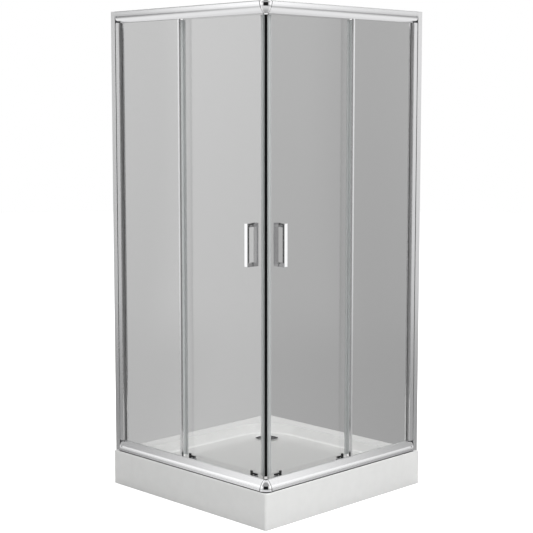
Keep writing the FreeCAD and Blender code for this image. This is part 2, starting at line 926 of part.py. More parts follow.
wall_outline = [
    (wall_face, wall_near),
    (wall_face, wall_far),
    (wall_profile_start, wall_far),
    (wall_profile_start, wall_far - profile_wall),
    (wall_face - profile_wall, wall_far - profile_wall),
    (wall_face - profile_wall, wall_near + profile_wall),
    (wall_profile_start, wall_near + profile_wall),
    (wall_profile_start, wall_near),
]
upright_corner = (at_along(wall_face), -half, tray_top)
wall_bar = pad(
    "wall_bar", "XY_Plane", [(from_wall(wall_outline), None)], upright_corner, cell("enclosure_height")
)
profile_centre = (wall_near + wall_far) / 2
wall_holes = []
screw_offsets = []
for spread_name in ("wall_screw_outer", "wall_screw_inner"):
    screw_offsets += [-cell(spread_name), cell(spread_name)]
for number, offset in enumerate(screw_offsets, start=1):
    wall_holes.append(
        rod(
            "wall_hole_%d" % number,
            "X",
            (at_deep(profile_centre), middle_height + offset),
            (at_along(wall_face), at_along(wall_face - profile_wall)),
            cell("wall_screw_radius"),
        )
    )
join_along = (wall_profile_start + side_end) / 2
join_heights = [middle_height + cell("join_screw_spread") * step for step in (-1, 0, 1)]
join_holes = []
join_screws = []
for number, height in enumerate(join_heights, start=1):
    join_holes.append(
        side_rod(
            "join_hole_%d" % number,
            join_along,
            height,
            (side_far - profile_wall * 2, wall_far + OVERSHOOT),
            screw_radius + cell("axle_play"),
        )
    )
    shank = side_rod(
        "join_shank_%d" % number, join_along, height, (side_far - profile_wall * 3, wall_far), screw_radius
    )
    head = side_rod(
        "join_head_%d" % number, join_along, height, (wall_far, wall_far + head_height), head_radius
    )
    join_screws.append(fuse("join_screw_%d" % number, shank, head))
both_sides("wall_profile", cut("wall_profile_solid", wall_bar, *(wall_holes + join_holes)))

gasket_wall = cell("gasket_wall")
glass_near = cell("fixed_glass_deep")
glass_far = glass_near + glass
groove_near = glass_near - gasket_wall - cell("gasket_play")
groove_far = glass_far + gasket_wall + cell("gasket_play")
groove_end = side_start + cell("groove_depth")
side_outline = [
    (side_end, side_near),
    (side_end, side_far),
    (side_start, side_far),
    (side_start, groove_far),
    (groove_end, groove_far),
    (groove_end, groove_near),
    (side_start, groove_near),
    (side_start, side_near),
]
side_chamber = [
    (side_end - profile_wall, side_near + profile_wall),
    (side_end - profile_wall, side_far - profile_wall),
    (side_start + profile_wall, side_far - profile_wall),
    (side_start + profile_wall, groove_far + profile_wall),
    (groove_end + profile_wall, groove_far + profile_wall),
    (groove_end + profile_wall, groove_near - profile_wall),
    (side_start + profile_wall, groove_near - profile_wall),
    (side_start + profile_wall, side_near + profile_wall),
]
between_rails = (tray_top + rail_height, top - rail_height)
side_corner = (at_along(wall_face), -half, between_rails[0])
side_bar = pad(
    "side_bar",
    "XY_Plane",
    [(from_wall(side_outline), None), (from_wall(side_chamber), None)],
    side_corner,
    between_rails[1] - between_rails[0],
)
join_copies = []
for number, height in enumerate(join_heights, start=1):
    join_copies.append(
        side_rod(
            "side_hole_%d" % number,
            join_along,
            height,
            (side_far - profile_wall * 2, side_far + OVERSHOOT),
            screw_radius + cell("axle_play"),
        )
    )
both_sides("side_profile", cut("side_profile_solid", side_bar, *join_copies))

# A plastic block in each rail's end reaches into the side profile and holds the two together.
post_gap = profile_wall + cell("slide_play")
end_foot = side_box(
    "end_foot",
    (end_screw_along - cell("end_foot_reach"), wall_profile_start),
    (side_near + post_gap, slot_near - cell("touch_gap")),
    tongue_span,
)
end_post = side_box(
    "end_post",
    (wall_profile_start - cell("end_post_lead"), side_end - post_gap),
    (side_near + post_gap, side_far - post_gap),
    (tray_top + rail_wall, tray_top + cell("end_post_height")),
)
end_thread = side_rod(
    "end_thread", end_screw_along, end_screw_z, (side_near, slot_near), screw_radius + cell("axle_play")
)
end_block = cut("end_block", fuse("end_block_filled", end_foot, end_post), end_thread)
node("rail_end_blocks", group("end_block_group", *four_ways(end_block)))

head_middle = head_seat - head_height / 2
end_shank = side_rod(
    "end_shank",
    end_screw_along,
    end_screw_z,
    (head_middle, slot_near - cell("screw_tip_room")),
    screw_radius,
)
end_head = side_rod("end_head", end_screw_along, end_screw_z, (head_middle, head_seat), head_radius)
end_screw = fuse("end_screw", end_shank, end_head)
join_rights = [mirrored(screw.Name + "_right", screw, DIAGONAL) for screw in join_screws]
node("frame_screws", group("frame_screw_group", *(four_ways(end_screw) + join_screws + join_rights)))

# ---------------------------------------------------------------- fixed glass

door_end = half + cell("door_past_middle")
fixed_start = door_end - cell("glass_overlap")
fixed_end = groove_end - gasket_wall
past_rails = (between_rails[0] - OVERSHOOT, between_rails[1] + OVERSHOOT)
fixed_span = (tray_top + slot_floor, top - slot_floor - cell("slot_play"))
fixed_glass = side_box("fixed_glass_solid", (fixed_start, fixed_end), (glass_near, glass_far), fixed_span)
both_sides("fixed_glass", fixed_glass)

# A dark gasket wraps the glass edge in the side profile and shows as a line beside it.
gasket_block = side_box(
    "gasket_block",
    (side_start - cell("gasket_show"), groove_end),
    (glass_near - gasket_wall, glass_far + gasket_wall),
    between_rails,
)
gasket_slot = side_box(
    "gasket_slot",
    (side_start - cell("gasket_show") - OVERSHOOT, fixed_end),
    (glass_near, glass_far),
    past_rails,
)
gasket = cut("gasket", gasket_block, gasket_slot)
gasket_right = mirrored("gasket_right", gasket, DIAGONAL)
node("fixed_gaskets", group("gasket_group", gasket, gasket_right))

edge_near = (glass_near + glass_far - cell("edge_profile_depth")) / 2
edge_far = (glass_near + glass_far + cell("edge_profile_depth")) / 2
edge_start = fixed_start - profile_wall
edge_end = edge_start + cell("edge_profile_width")
edge_block = side_box("edge_block", (edge_start, edge_end), (edge_near, edge_far), between_rails)
edge_slot = side_box(
    "edge_slot",
    (fixed_start, edge_end + OVERSHOOT),
    (glass_near, glass_far),
    past_rails,
)
edge_profile = cut("edge_profile", edge_block, edge_slot)
edge_profile_right = mirrored("edge_profile_right", edge_profile, DIAGONAL)
node("fixed_edge_profiles", group("edge_profile_group", edge_profile, edge_profile_right))

# ---------------------------------------------------------------- door glass and its seals

door_near = cell("door_glass_deep")
door_far = door_near + glass
door_start = cell("door_glass_start")
door_bottom = tray_top + cell("door_glass_bottom")
door_top = top - cell("door_glass_bottom")
groove_radius = cell("wheel_groove_radius")
running_gap = cell("running_gap")
bottom_axle_z = tray_top + rib_tip - groove_radius - running_gap
top_axle_z = top - rib_tip + groove_radius + running_gap
axle = cell("axle_radius")
hole_play = cell("glass_hole_play")
wheel_places = {
    "front": door_start + cell("front_wheel_inset"),
    "rear": door_end - cell("rear_wheel_inset"),
}
shank_radius = cell("hanger_radius")
housing_low = tray_top + cell("housing_bottom")
housing_high = tray_top + cell("housing_top")
housing_bolt_z = (housing_low + housing_high) / 2
bolt_shift = cell("bolt_shift")
bolt_play = cell("bolt_play")
bolt_radius = cell("bolt_radius")
handle_start = door_start + cell("handle_inset")
handle_end = handle_start + cell("handle_width")
handle_centre = (handle_start + handle_end) / 2
handle_z = cell("handle_height")
stud_offset = (cell("handle_length") - cell("handle_post")) / 2
handle_stud = cell("handle_stud_radius")
stud_heights = {"upper": handle_z + stud_offset, "lower": handle_z - stud_offset}

door_pane = side_box("door_pane", (door_start, door_end), (door_near, door_far), (door_bottom, door_top))
pane_holes = []
through = (door_near - OVERSHOOT, door_far + OVERSHOOT)
for position, along in wheel_places.items():
    pane_holes.append(
        side_rod("hanger_hole_" + position, along, top_axle_z, through, shank_radius + hole_play)
    )
    pane_holes.append(
        side_rod(
            "housing_hole_" + position,
            along + bolt_shift,
            housing_bolt_z,
            through,
            bolt_radius + hole_play,
        )
    )
for level, height in stud_heights.items():
    pane_holes.append(
        side_rod("handle_hole_" + level, handle_centre, height, through, handle_stud + hole_play)
    )
both_sides("door_glass", cut("door_glass_solid", door_pane, *pane_holes))

# The clear front seal grips the glass and carries the black magnet on the diagonal.
seal_wall = cell("seal_wall")
seal_grip = cell("seal_grip")
seal_end_gap = cell("magnet_start_gap")
seal_span = (between_rails[0] + seal_end_gap, between_rails[1] - seal_end_gap)
magnet_near = cell("magnet_near")
magnet_far = magnet_near + cell("magnet_length")
magnet_front = cell("magnet_gap")
magnet_back = magnet_front + cell("magnet_thickness")
magnet = diagonal_box("magnet", (magnet_near, magnet_far), (magnet_front, magnet_back), seal_span)
both_sides("magnet_strip", magnet)
seal_near = door_near - seal_wall
seal_far = door_far + seal_wall
grip_start = door_start - seal_wall * 2
grip_along = (grip_start, door_start + seal_grip)
grip = side_box("front_grip", grip_along, (seal_near, seal_far), seal_span)
backing = diagonal_box(
    "magnet_backing",
    (magnet_near, magnet_far + seal_wall),
    (magnet_back, magnet_back + seal_wall),
    seal_span,
)
pane_room = side_box("front_pane_room", (door_start, door_end), (door_near, door_far), past_rails)
front_seal = fuse("front_seal", grip, backing)
both_sides("magnet_profile", cut("magnet_profile_solid", front_seal, pane_room))

# The clear rear seal grips the other edge, and its fin closes the gap to the fixed glass.
rear_lip = door_end + cell("rear_seal_reach")
rear_along = (door_end - seal_grip, rear_lip)
rear_grip = side_box("rear_grip", rear_along, (seal_near, seal_far), seal_span)
fin = side_box(
    "seal_fin",
    (door_end - cell("fin_thickness") - seal_wall, door_end - seal_wall),
    (cell("fin_tip_deep"), seal_near + seal_wall / 2),
    seal_span,
)
rear_room = side_box("rear_pane_room", (door_start, door_end), (door_near, door_far), past_rails)
rear_hollow = side_box(
    "rear_hollow", (door_end + seal_wall, rear_lip - seal_wall), (door_near, door_far), past_rails
)
rear_filled = fuse("rear_seal_filled", rear_grip, fin)
both_sides("rear_seal", cut("rear_seal_solid", rear_filled, rear_room, rear_hollow))

# ---------------------------------------------------------------- wheels and top carriers

wheel_radius = cell("wheel_radius")
rib_centre = (rib_near + rib_far) / 2
wheel_near = rib_centre - cell("wheel_width") / 2
wheel_far = rib_centre + cell("wheel_width") / 2
groove_left = rib_centre - cell("wheel_groove_width") / 2
groove_right = rib_centre + cell("wheel_groove_width") / 2
wheel_bore = axle + cell("axle_play")
wheel_outline = [
    (wheel_near, wheel_bore),
    (wheel_far, wheel_bore),
    (wheel_far, wheel_radius),
    (groove_right, wheel_radius),
    (groove_right, groove_radius),
    (groove_left, groove_radius),
    (groove_left, wheel_radius),
    (wheel_near, wheel_radius),
]


def wheel(name, along, height):
    corner = (at_along(along), -half, height)
    return revolve(name, "YZ_Plane", [(wheel_outline, None)], corner, "H_Axis")


for position, along in wheel_places.items():
    for level, height in (("top", top_axle_z), ("bottom", bottom_axle_z)):
        name = "%s_wheel_%s" % (level, position)
        both_sides(name, wheel(name + "_body", along, height))

axle_head_end = wheel_near - cell("touch_gap")
axle_head_start = axle_head_end - cell("axle_head_thickness")
collar_start = wheel_far + cell("touch_gap")
collar_radius = cell("collar_radius")
nut_end = door_far + cell("nut_height")
shank_end = nut_end - cell("nut_roof")
nut_chamfer = cell("nut_chamfer")
carrier_outline = [
    (axle_head_start, 0),
    (axle_head_start, cell("axle_head_radius")),
    (axle_head_end, cell("axle_head_radius")),
    (axle_head_end, axle),
    (collar_start, axle),
    (collar_start, collar_radius),
    (door_near, collar_radius),
    (door_near, shank_radius),
    (shank_end, shank_radius),
    (shank_end, 0),
]


def cap_nut(name, along, height, inner_radius, depth):
    outline = [
        (door_far, inner_radius),
        (door_far, collar_radius),
        (nut_end - nut_chamfer, collar_radius),
        (nut_end, collar_radius - nut_chamfer),
        (nut_end, 0),
        (depth, 0),
        (depth, inner_radius),
    ]
    corner = (at_along(along), -half, height)
    return revolve(name, "YZ_Plane", [(outline, None)], corner, "H_Axis")


carriers = []
door_bolts = []
for position, along in wheel_places.items():
    corner = (at_along(along), -half, top_axle_z)
    carriers.append(
        revolve("carrier_" + position, "YZ_Plane", [(carrier_outline, None)], corner, "H_Axis")
    )
    door_bolts.append(
        cap_nut("carrier_nut_" + position, along, top_axle_z, shank_radius + cell("axle_play"), shank_end)
    )
both_sides("top_carriers", group("carrier_group", *carriers))

# ---------------------------------------------------------------- bottom release units

# Each bottom wheel hangs on a spring-loaded slider; pressing its nib drops the wheel off the rib.
boss_start = collar_start
slider_near = boss_start + cell("release_boss")
slider_far = slider_near + cell("release_thickness")
slide_play = cell("slide_play")
stem_width = cell("stem_width")
housing_near = slider_near - slide_play - cell("housing_wall")
bar_low = housing_high + cell("release_travel") + cell("release_clear")
bar_high = bar_low + cell("release_bar_thickness")
nib_high = tray_top + cell("nib_top")
arm_reach = axle + cell("arm_margin")
spring_radius = cell("spring_radius")
spring_floor = housing_low + cell("spring_seat")
pocket_radius = spring_radius + cell("pocket_play")
bolt_head_radius = cell("bolt_head_radius")
spring_deep = (slider_near + slider_far) / 2

housings = []
for position, along in wheel_places.items():
    front = along - cell("release_front")
    back = along + cell("release_back")
    stem = (back - stem_width, back)
    spring_along = along - cell("spring_shift")
    bolt_along = along + bolt_shift
    arm = side_box(
        "arm_" + position,
        (along - arm_reach, back),
        (slider_near, slider_far),
        (bottom_axle_z - arm_reach, housing_low - cell("arm_room")),
    )
    riser = side_box("riser_" + position, stem, (slider_near, slider_far), (bottom_axle_z, bar_high))
    bar = side_box("bar_" + position, (front, back), (slider_near, slider_far), (bar_low, bar_high))
    nib = side_box("nib_" + position, stem, (slider_near, slider_far), (bar_high, nib_high))
    pin = side_rod("pin_" + position, along, bottom_axle_z, (axle_head_end, slider_near), axle)
    pin_head = side_rod(
        "pin_head_" + position,
        along,
        bottom_axle_z,
        (axle_head_start, axle_head_end),
        cell("axle_head_radius"),
    )
    boss_deep = (boss_start, slider_near)
    boss = side_rod("boss_" + position, along, bottom_axle_z, boss_deep, cell("boss_radius"))
    slider = fuse("slider_" + position, arm, riser, bar, nib, pin, pin_head, boss)
    both_sides("release_slider_" + position, slider)

    housing_block = side_box(
        "housing_block_" + position,
        (front, back + cell("housing_wall") + slide_play),
        (housing_near, door_near),
        (housing_low, housing_high),
    )
    stem_way = side_box(
        "stem_way_" + position,
        (stem[0] - slide_play, stem[1] + slide_play),
        (slider_near - slide_play, slider_far + slide_play),
        (housing_low - OVERSHOOT, housing_high + OVERSHOOT),
    )
    pocket = rod(
        "pocket_" + position,
        "Z",
        (at_along(spring_along), at_deep(spring_deep)),
        (spring_floor, housing_high + OVERSHOOT),
        pocket_radius,
    )
    bolt_way = side_rod(
        "bolt_way_" + position,
        bolt_along,
        housing_bolt_z,
        (housing_near, door_near),
        bolt_radius + bolt_play,
    )
    head_way = side_rod(
        "head_way_" + position,
        bolt_along,
        housing_bolt_z,
        (housing_near, housing_near + head_height),
        bolt_head_radius + slide_play,
    )
    housings.append(cut("housing_" + position, housing_block, stem_way, pocket, bolt_way, head_way))
    bolt_shank = side_rod(
        "bolt_shank_" + position, bolt_along, housing_bolt_z, (housing_near, shank_end), bolt_radius
    )
    bolt_head = side_rod(
        "bolt_head_" + position,
        bolt_along,
        housing_bolt_z,
        (housing_near, housing_near + head_height),
        bolt_head_radius,
    )
    door_bolts.append(fuse("housing_bolt_" + position, bolt_shank, bolt_head))
    door_bolts.append(
        cap_nut("housing_nut_" + position, bolt_along, housing_bolt_z, bolt_radius + bolt_play, shank_end)
    )

    # The coil is swept along a helix between the pocket's floor and the slider's bar.
    wire = float(cell("spring_wire")) / 2
    seat_gap = float(running_gap)
    length = float(bar_low) - float(spring_floor) - 2 * (wire + seat_gap)
    mean = float(spring_radius) - wire
    helix = Part.makeHelix(length / SIZES["spring_turns"], length, mean)
    section = Part.Wire(Part.makeCircle(wire, FreeCAD.Vector(mean, 0, 0), Y_AXIS))
    coil = Part.Wire(helix.Edges).makePipeShell([section], True, False)
    spring = doc.addObject("Part::Feature", "spring_" + position)
    spring.Shape = coil
    place(
        spring,
        at_along(spring_along),
        at_deep(spring_deep),
        spring_floor + wire + seat_gap,
    )
    both_sides("release_spring_" + position, spring)
both_sides("bottom_housings", group("housing_group", *housings))

# ---------------------------------------------------------------- handles

handle_low = handle_z - cell("handle_length") / 2
handle_high = handle_z + cell("handle_length") / 2
handle_front = door_near - cell("handle_reach")
bar_inner = handle_front + cell("handle_bar")
post = cell("handle_post")
bow_outline = [
    (handle_front, handle_low),
    (door_near, handle_low),
    (door_near, handle_low + post),
    (bar_inner, handle_low + post),
    (bar_inner, handle_high - post),
    (door_near, handle_high - post),
    (door_near, handle_high),
    (handle_front, handle_high),
]
bow_corner = (at_along(handle_end), -half, Size.of(0))
bow = pad("handle_bow", "YZ_Plane", [(bow_outline, None)], bow_corner, cell("handle_width"))


def on_the_front(edge):
    """Edges round the bow's outer face."""
    limit = float(at_deep(handle_front)) + 0.1
    return all(vertex.Point.y < limit for vertex in edge.Vertexes)


bow_rounded = fillet("handle_rounded", bow, (cell("handle_edge_radius"), on_the_front))
stud_sink = cell("handle_stud_depth")
stud_tip = stud_sink - cell("touch_gap")
stud_ways = []
for level, height in stud_heights.items():
    stud_ways.append(
        side_rod(
            "stud_way_" + level,
            handle_centre,
            height,
            (door_near - stud_sink, door_near + OVERSHOOT),
            handle_stud + cell("axle_play"),
        )
    )
    door_bolts.append(
        side_rod(
            "handle_stud_" + level,
            handle_centre,
            height,
            (door_near - stud_tip, door_far + stud_tip),
            handle_stud,
        )
    )
outer_bow = cut("handle_outer_solid", bow_rounded, *stud_ways)
both_sides("handle_outer", outer_bow)
inner_bow = mirrored("handle_inner_solid", outer_bow, Y_AXIS)
bind(inner_bow, "Base.y", at_deep((door_near + door_far) / 2))
both_sides("handle_inner", inner_bow)
both_sides("door_bolts", group("door_bolt_group", *door_bolts))

# ---------------------------------------------------------------- door stops

# Rubber blocks in the top rails meet the front carrier when closed and the rear one when open.
stop_play = cell("stop_play")
stop_deep = (collar_start + stop_play, rail_back - stop_play)
stop_z = (top_axle_z - cell("stop_drop"), top - rail_wall)
closed_end = wheel_places["front"] - collar_radius - cell("touch_gap")
door_travel = side_start - (door_end - seal_wall) - cell("open_gap")
open_start = wheel_places["rear"] + collar_radius + door_travel + cell("touch_gap")
closed_stop = side_box("closed_stop", (closed_end - cell("stop_length"), closed_end), stop_deep, stop_z)
open_stop = side_box("open_stop", (open_start, open_start + cell("stop_length")), stop_deep, stop_z)
stop_images = [mirrored(stop.Name + "_right", stop, DIAGONAL) for stop in (closed_stop, open_stop)]
node("door_stops", group("door_stop_group", closed_stop, open_stop, *stop_images))

# ---------------------------------------------------------------- check and write

doc.recompute()
faults = []
for item in doc.Objects:
    if "Invalid" in item.State or "Error" in item.State:
        faults.append("%s is in state %s" % (item.Name, item.State))
for name, shape in NODES.items():
    if shape.Shape.isNull() or not shape.Shape.isValid() or not shape.Shape.Solids:
        faults.append("%s has no valid solid" % name)
if faults:
    raise RuntimeError("; ".join(faults))

os.makedirs("parts", exist_ok=True)
for name, shape in NODES.items():
    shape.Shape.exportStep("parts/%s.step" % name)
print("%d sub-parts written" % len(NODES))
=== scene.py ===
import math

import bmesh
import bpy
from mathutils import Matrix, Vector


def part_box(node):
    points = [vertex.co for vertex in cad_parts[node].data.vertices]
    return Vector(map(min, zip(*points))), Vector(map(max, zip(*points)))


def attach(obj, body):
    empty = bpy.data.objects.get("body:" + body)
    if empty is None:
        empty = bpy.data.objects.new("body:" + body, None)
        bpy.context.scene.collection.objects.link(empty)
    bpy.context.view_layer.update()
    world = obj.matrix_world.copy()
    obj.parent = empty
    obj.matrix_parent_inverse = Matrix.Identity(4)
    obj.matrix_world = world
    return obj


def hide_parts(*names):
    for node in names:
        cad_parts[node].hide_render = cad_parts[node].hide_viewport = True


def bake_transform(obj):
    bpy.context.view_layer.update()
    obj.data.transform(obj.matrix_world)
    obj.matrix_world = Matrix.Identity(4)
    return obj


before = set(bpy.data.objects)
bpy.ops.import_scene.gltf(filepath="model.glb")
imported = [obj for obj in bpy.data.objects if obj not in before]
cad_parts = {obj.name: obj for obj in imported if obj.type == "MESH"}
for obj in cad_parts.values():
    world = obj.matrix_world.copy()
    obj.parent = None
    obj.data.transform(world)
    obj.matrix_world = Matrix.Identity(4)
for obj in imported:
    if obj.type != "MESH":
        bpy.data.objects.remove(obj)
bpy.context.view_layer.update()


# The view. The enclosure is seen at its front corner from a little above the middle, square on to
# the diagonal of its plan, so that both glass sides are foreshortened alike.
VIEW_AZIMUTH = math.radians(45.224)
VIEW_DISTANCE = 5.4050  # from the vertical through the tray's middle
VIEW_HEIGHT = 1.5744
VIEW_PITCH = 0.1065
VIEW_LENS_MM = 89.65
SENSOR_WIDTH_MM = 36
VIEW_SHIFT = -0.04  # keeps the uprights a little nearer to upright


def placed(name, data):
    """A new object with that data, in the scene."""
    made = bpy.data.objects.new(name, data)
    bpy.context.scene.collection.objects.link(made)
    return made


camera_data = bpy.data.cameras.new("view")
camera_data.lens = VIEW_LENS_MM
camera_data.sensor_width = SENSOR_WIDTH_MM
camera_data.shift_y = VIEW_SHIFT
camera = placed("view", camera_data)
towards_camera = Vector((math.sin(VIEW_AZIMUTH), -math.cos(VIEW_AZIMUTH), 0))
camera.location = towards_camera * VIEW_DISTANCE + Vector((0, 0, VIEW_HEIGHT))
camera.rotation_euler = (math.pi / 2 - VIEW_PITCH, 0, VIEW_AZIMUTH)
bpy.context.scene.camera = camera
bpy.context.scene.view_settings.view_transform = "Standard"


# The studio: a white floor and surround. Glass and clear seals show two grey backdrops that meet
# behind them, lighter on the left. Metal mirrors a bright room with a dark doorway in front. The
# light on the object itself is broad and plain, from above and from the right.
PURE_WHITE = "FFFFFF"
SURROUND_LIGHT = 0.6
FLOOR_WHITE = "C8C8C8"
FLOOR_RADIUS = 14
FLOOR_SEGMENTS = 96
FLOOR_GLOW = 0.8  # what the floor gives off itself, so that it meets the surround without an edge
LAMP_SIZE = 2.5


def linear(code, alpha=1):
    """A colour written as sRGB hex, in the linear values that shaders take."""
    parts = [int(code[i : i + 2], 16) / 255 for i in (0, 2, 4)]
    return [p / 12.92 if p <= 0.04045 else ((p + 0.055) / 1.055) ** 2.4 for p in parts] + [alpha]


def add(tree, kind, inputs=None, **settings):
    """A node of that kind with its settings, and its inputs as values, hex colours or links."""
    node = tree.nodes.new(kind)
    for name, value in settings.items():
        setattr(node, name, value)
    for name, value in (inputs or {}).items():
        socket = node.inputs[name]
        sources = value if isinstance(value, list) else [value]
        if isinstance(sources[0], bpy.types.NodeSocket):
            for source in sources:
                tree.links.new(source, socket)
        else:
            is_colour = isinstance(value, str) and socket.type == "RGBA"
            socket.default_value = linear(value) if is_colour else value
    return node


world = bpy.data.worlds.new("surround")
world.use_nodes = True
tree = world.node_tree
tree.nodes.clear()
bpy.context.scene.world = world
direction = add(tree, "ShaderNodeTexCoord").outputs["Generated"]
to_right = Vector((math.cos(VIEW_AZIMUTH), math.sin(VIEW_AZIMUTH), 0))
frontwards = add(tree, "ShaderNodeVectorMath", {0: direction, 1: towards_camera}, operation="DOT_PRODUCT")
rightwards = add(tree, "ShaderNodeVectorMath", {0: direction, 1: to_right}, operation="DOT_PRODUCT")
frontwards, rightwards = frontwards.outputs["Value"], rightwards.outputs["Value"]
parts = add(tree, "ShaderNodeSeparateXYZ", {0: direction}).outputs
upwards = parts["Z"]
leftwards = add(tree, "ShaderNodeMath", {0: parts["X"], 1: -1.0}, operation="MULTIPLY").outputs[0]
sidewards = add(tree, "ShaderNodeMath", {0: leftwards, 1: parts["Y"]}, operation="MAXIMUM").outputs[0]


# The areas of the room round the object: a level of light, or how much an area counts. Each is one
# step or a few steps multiplied. A step goes smoothly from its first value to its second while a
# look turns from start to end along its direction, where 1 is straight along it. In the rails the
# looks go sidewards by 0.68 at the near ends and 0.79 at the far ends.
AREAS = {
    # name: [(direction, start, end, first value, second value), ...]
    "on the right": [(rightwards, -0.3, 0.3, 0, 1)],
    "level left": [(sidewards, 0.744, 0.766, 1.25, 0.46)],
    "level right": [(sidewards, 0.722, 0.75, 1.2, 0.58), (sidewards, 0.755, 0.785, 1, 1.36)],
    "is low": [(upwards, -0.36, -0.31, 0, 1), (upwards, -0.2, -0.14, 1, 0)],
    "low left": [(sidewards, 0.715, 0.755, 0.92, 0.16)],
    "low right": [(sidewards, 0.69, 0.76, 0.72, 0.3)],
    "is high": [(upwards, 0.09, 0.15, 0, 1)],
    "high": [(sidewards, 0.7, 0.745, 1, 0.26)],
    "is ground": [(upwards, -0.4, -0.33, 1, 0)],
    "ground": [(upwards, -0.95, -0.5, 0.6, 1.04)],
    "doorway": [(frontwards, 0.72, 0.9, 0, 0.99), (upwards, -0.32, -0.2, 0, 1), (upwards, 0.2, 0.32, 1, 0)],
    "over doorway": [(frontwards, 0.45, 0.7, 0, 0.6), (upwards, 0.15, 0.3, 0, 1)],
    "is lit": [  # less square on to a side and straight behind, more at the ceiling
        (sidewards, 0.1, 0.5, 0.76, 1), (upwards, -0.1, 0.1, 0.9, 1.12), (frontwards, -0.75, -0.5, 0.1, 1),
    ],
    "backdrops": [
        (rightwards, -0.004, 0.004, 0.72, 0.57), (upwards, -0.25, 0.1, 0.88, 1),
        (rightwards, -0.12, 0.12, 1.02, 0.92),
    ],
}
area = {"dark": 0.0, "white": 1.0, "surround": SURROUND_LIGHT}
for name, steps in AREAS.items():
    for way, start, end, first, second in steps:
        step = {"Value": way, "From Min": start, "From Max": end, "To Min": first, "To Max": second}
        step = add(tree, "ShaderNodeMapRange", step, interpolation_type="SMOOTHSTEP").outputs["Result"]
        if name in area:
            step = add(tree, "ShaderNodeMath", {0: area[name], 1: step}, operation="MULTIPLY").outputs[0]
        area[name] = step

# The kind of ray says what shows: metal mirrors the room, and glass and seals show the backdrops.
ray = add(tree, "ShaderNodeLightPath").outputs
through_seal = add(tree, "ShaderNodeMath", {0: ray["Transparent Depth"], 1: 0.5}, operation="GREATER_THAN")
area["is mirrored"] = ray["Is Glossy Ray"]
area["is through glass"] = ray["Is Transmission Ray"]
area["is seen"] = ray["Is Camera Ray"]
area["is through seal"] = through_seal.outputs[0]
MIXES = (
    # what is made, how much the second counts, the first, the second
    ("room", "on the right", "level left", "level right"),
    ("low", "on the right", "low left", "low right"),
    ("room", "is low", "room", "low"),
    ("room", "is high", "room", "high"),
    ("room", "is ground", "room", "ground"),
    ("room", "is lit", "dark", "room"),
    ("room", "doorway", "room", "dark"),
    ("room", "over doorway", "room", "dark"),
    ("background", "is through seal", "white", "backdrops"),
    ("light", "is mirrored", "surround", "room"),
    ("light", "is through glass", "light", "backdrops"),
    ("light", "is seen", "light", "background"),
)
for name, share, first, second in MIXES:
    mix = {0: area[share], 2: area[first], 3: area[second]}
    area[name] = add(tree, "ShaderNodeMix", mix, data_type="FLOAT", clamp_factor=False).outputs[0]
shine = add(tree, "ShaderNodeBackground", {"Color": PURE_WHITE, "Strength": area["light"]})
add(tree, "ShaderNodeOutputWorld", {"Surface": shine.outputs[0]})


def new_material(name):
    """An empty material of that name, and its tree."""
    made = bpy.data.materials.new(name)
    made.use_nodes = True
    made.node_tree.nodes.clear()
    return made, made.node_tree


studio_white, tree = new_material("white_studio_floor")
ray = add(tree, "ShaderNodeLightPath").outputs
lit = add(tree, "ShaderNodeBsdfDiffuse", {"Color": FLOOR_WHITE})
glow = add(tree, "ShaderNodeEmission", {"Color": PURE_WHITE, "Strength": FLOOR_GLOW})
white = add(tree, "ShaderNodeAddShader", {0: lit.outputs[0], 1: glow.outputs[0]})
mix = add(tree, "ShaderNodeMixShader", {0: ray["Is Camera Ray"], 1: lit.outputs[0], 2: white.outputs[0]})
through_seal = add(tree, "ShaderNodeMath", {0: ray["Transparent Depth"], 1: 0.5}, operation="GREATER_THAN")
clear = add(tree, "ShaderNodeBsdfTransparent")
mix = add(tree, "ShaderNodeMixShader", {0: through_seal.outputs[0], 1: mix.outputs[0], 2: clear.outputs[0]})
add(tree, "ShaderNodeOutputMaterial", {"Surface": mix.outputs[0]})

floor_mesh = bpy.data.meshes.new("floor")
shape = bmesh.new()
bmesh.ops.create_circle(shape, cap_ends=True, radius=FLOOR_RADIUS, segments=FLOOR_SEGMENTS)
shape.to_mesh(floor_mesh)
shape.free()
floor_mesh.materials.append(studio_white)
floor = placed("floor", floor_mesh)
floor.visible_glossy = floor.visible_transmission = False


def softbox(name, place, aim, watts):
    """A square area lamp at place, aimed at a point."""
    lamp_data = bpy.data.lights.new(name, "AREA")
    lamp_data.size = LAMP_SIZE
    lamp_data.energy = watts
    lamp = placed(name, lamp_data)
    lamp.location = place
    lamp.rotation_euler = (Vector(aim) - Vector(place)).to_track_quat("-Z", "Y").to_euler()
    lamp.visible_camera = lamp.visible_glossy = lamp.visible_transmission = False


softbox("right_light", place=(5, -1.5, 3.2), aim=(0, 0, 0.6), watts=130)
softbox("top_light", place=(-0.6, 0.6, 5), aim=(0, 0, 0), watts=265)


# The tray: a sheet of sanitary acrylic, drawn by vacuum over a mould and backed with chopped glass
# fibre in resin. White and glossy with a slight orange peel, a fine grain on the standing floor, and
# the rough cream strands of the backing underneath. The standing floor is a darker grey: painted
# shade for the small shadows of its grain.
ACRYLIC_WHITE = "E8E8E7"
ACRYLIC_SHADE = "E0E0DF"
PAINTED_GRAIN_SHADE = "C0C0BF"
RESIN_CREAM = "CFCBB8"
RESIN_STRAND = "DEDCCF"
PEEL_MM = 9
GRAIN_MM = 2.4
STRAND_MM = 14
MOTTLE_SCALE = 28  # cells of faint mottling in a metre
BASIN_FLOOR = 0.102  # height of the standing floor
GRAIN_FULL = 0.0005  # the grain is whole up to here above that floor
GRAIN_GONE = 0.0015


def scale_for(size_mm):
    """The texture scale that makes one cell of a pattern that many millimetres."""
    return 1000 / size_mm


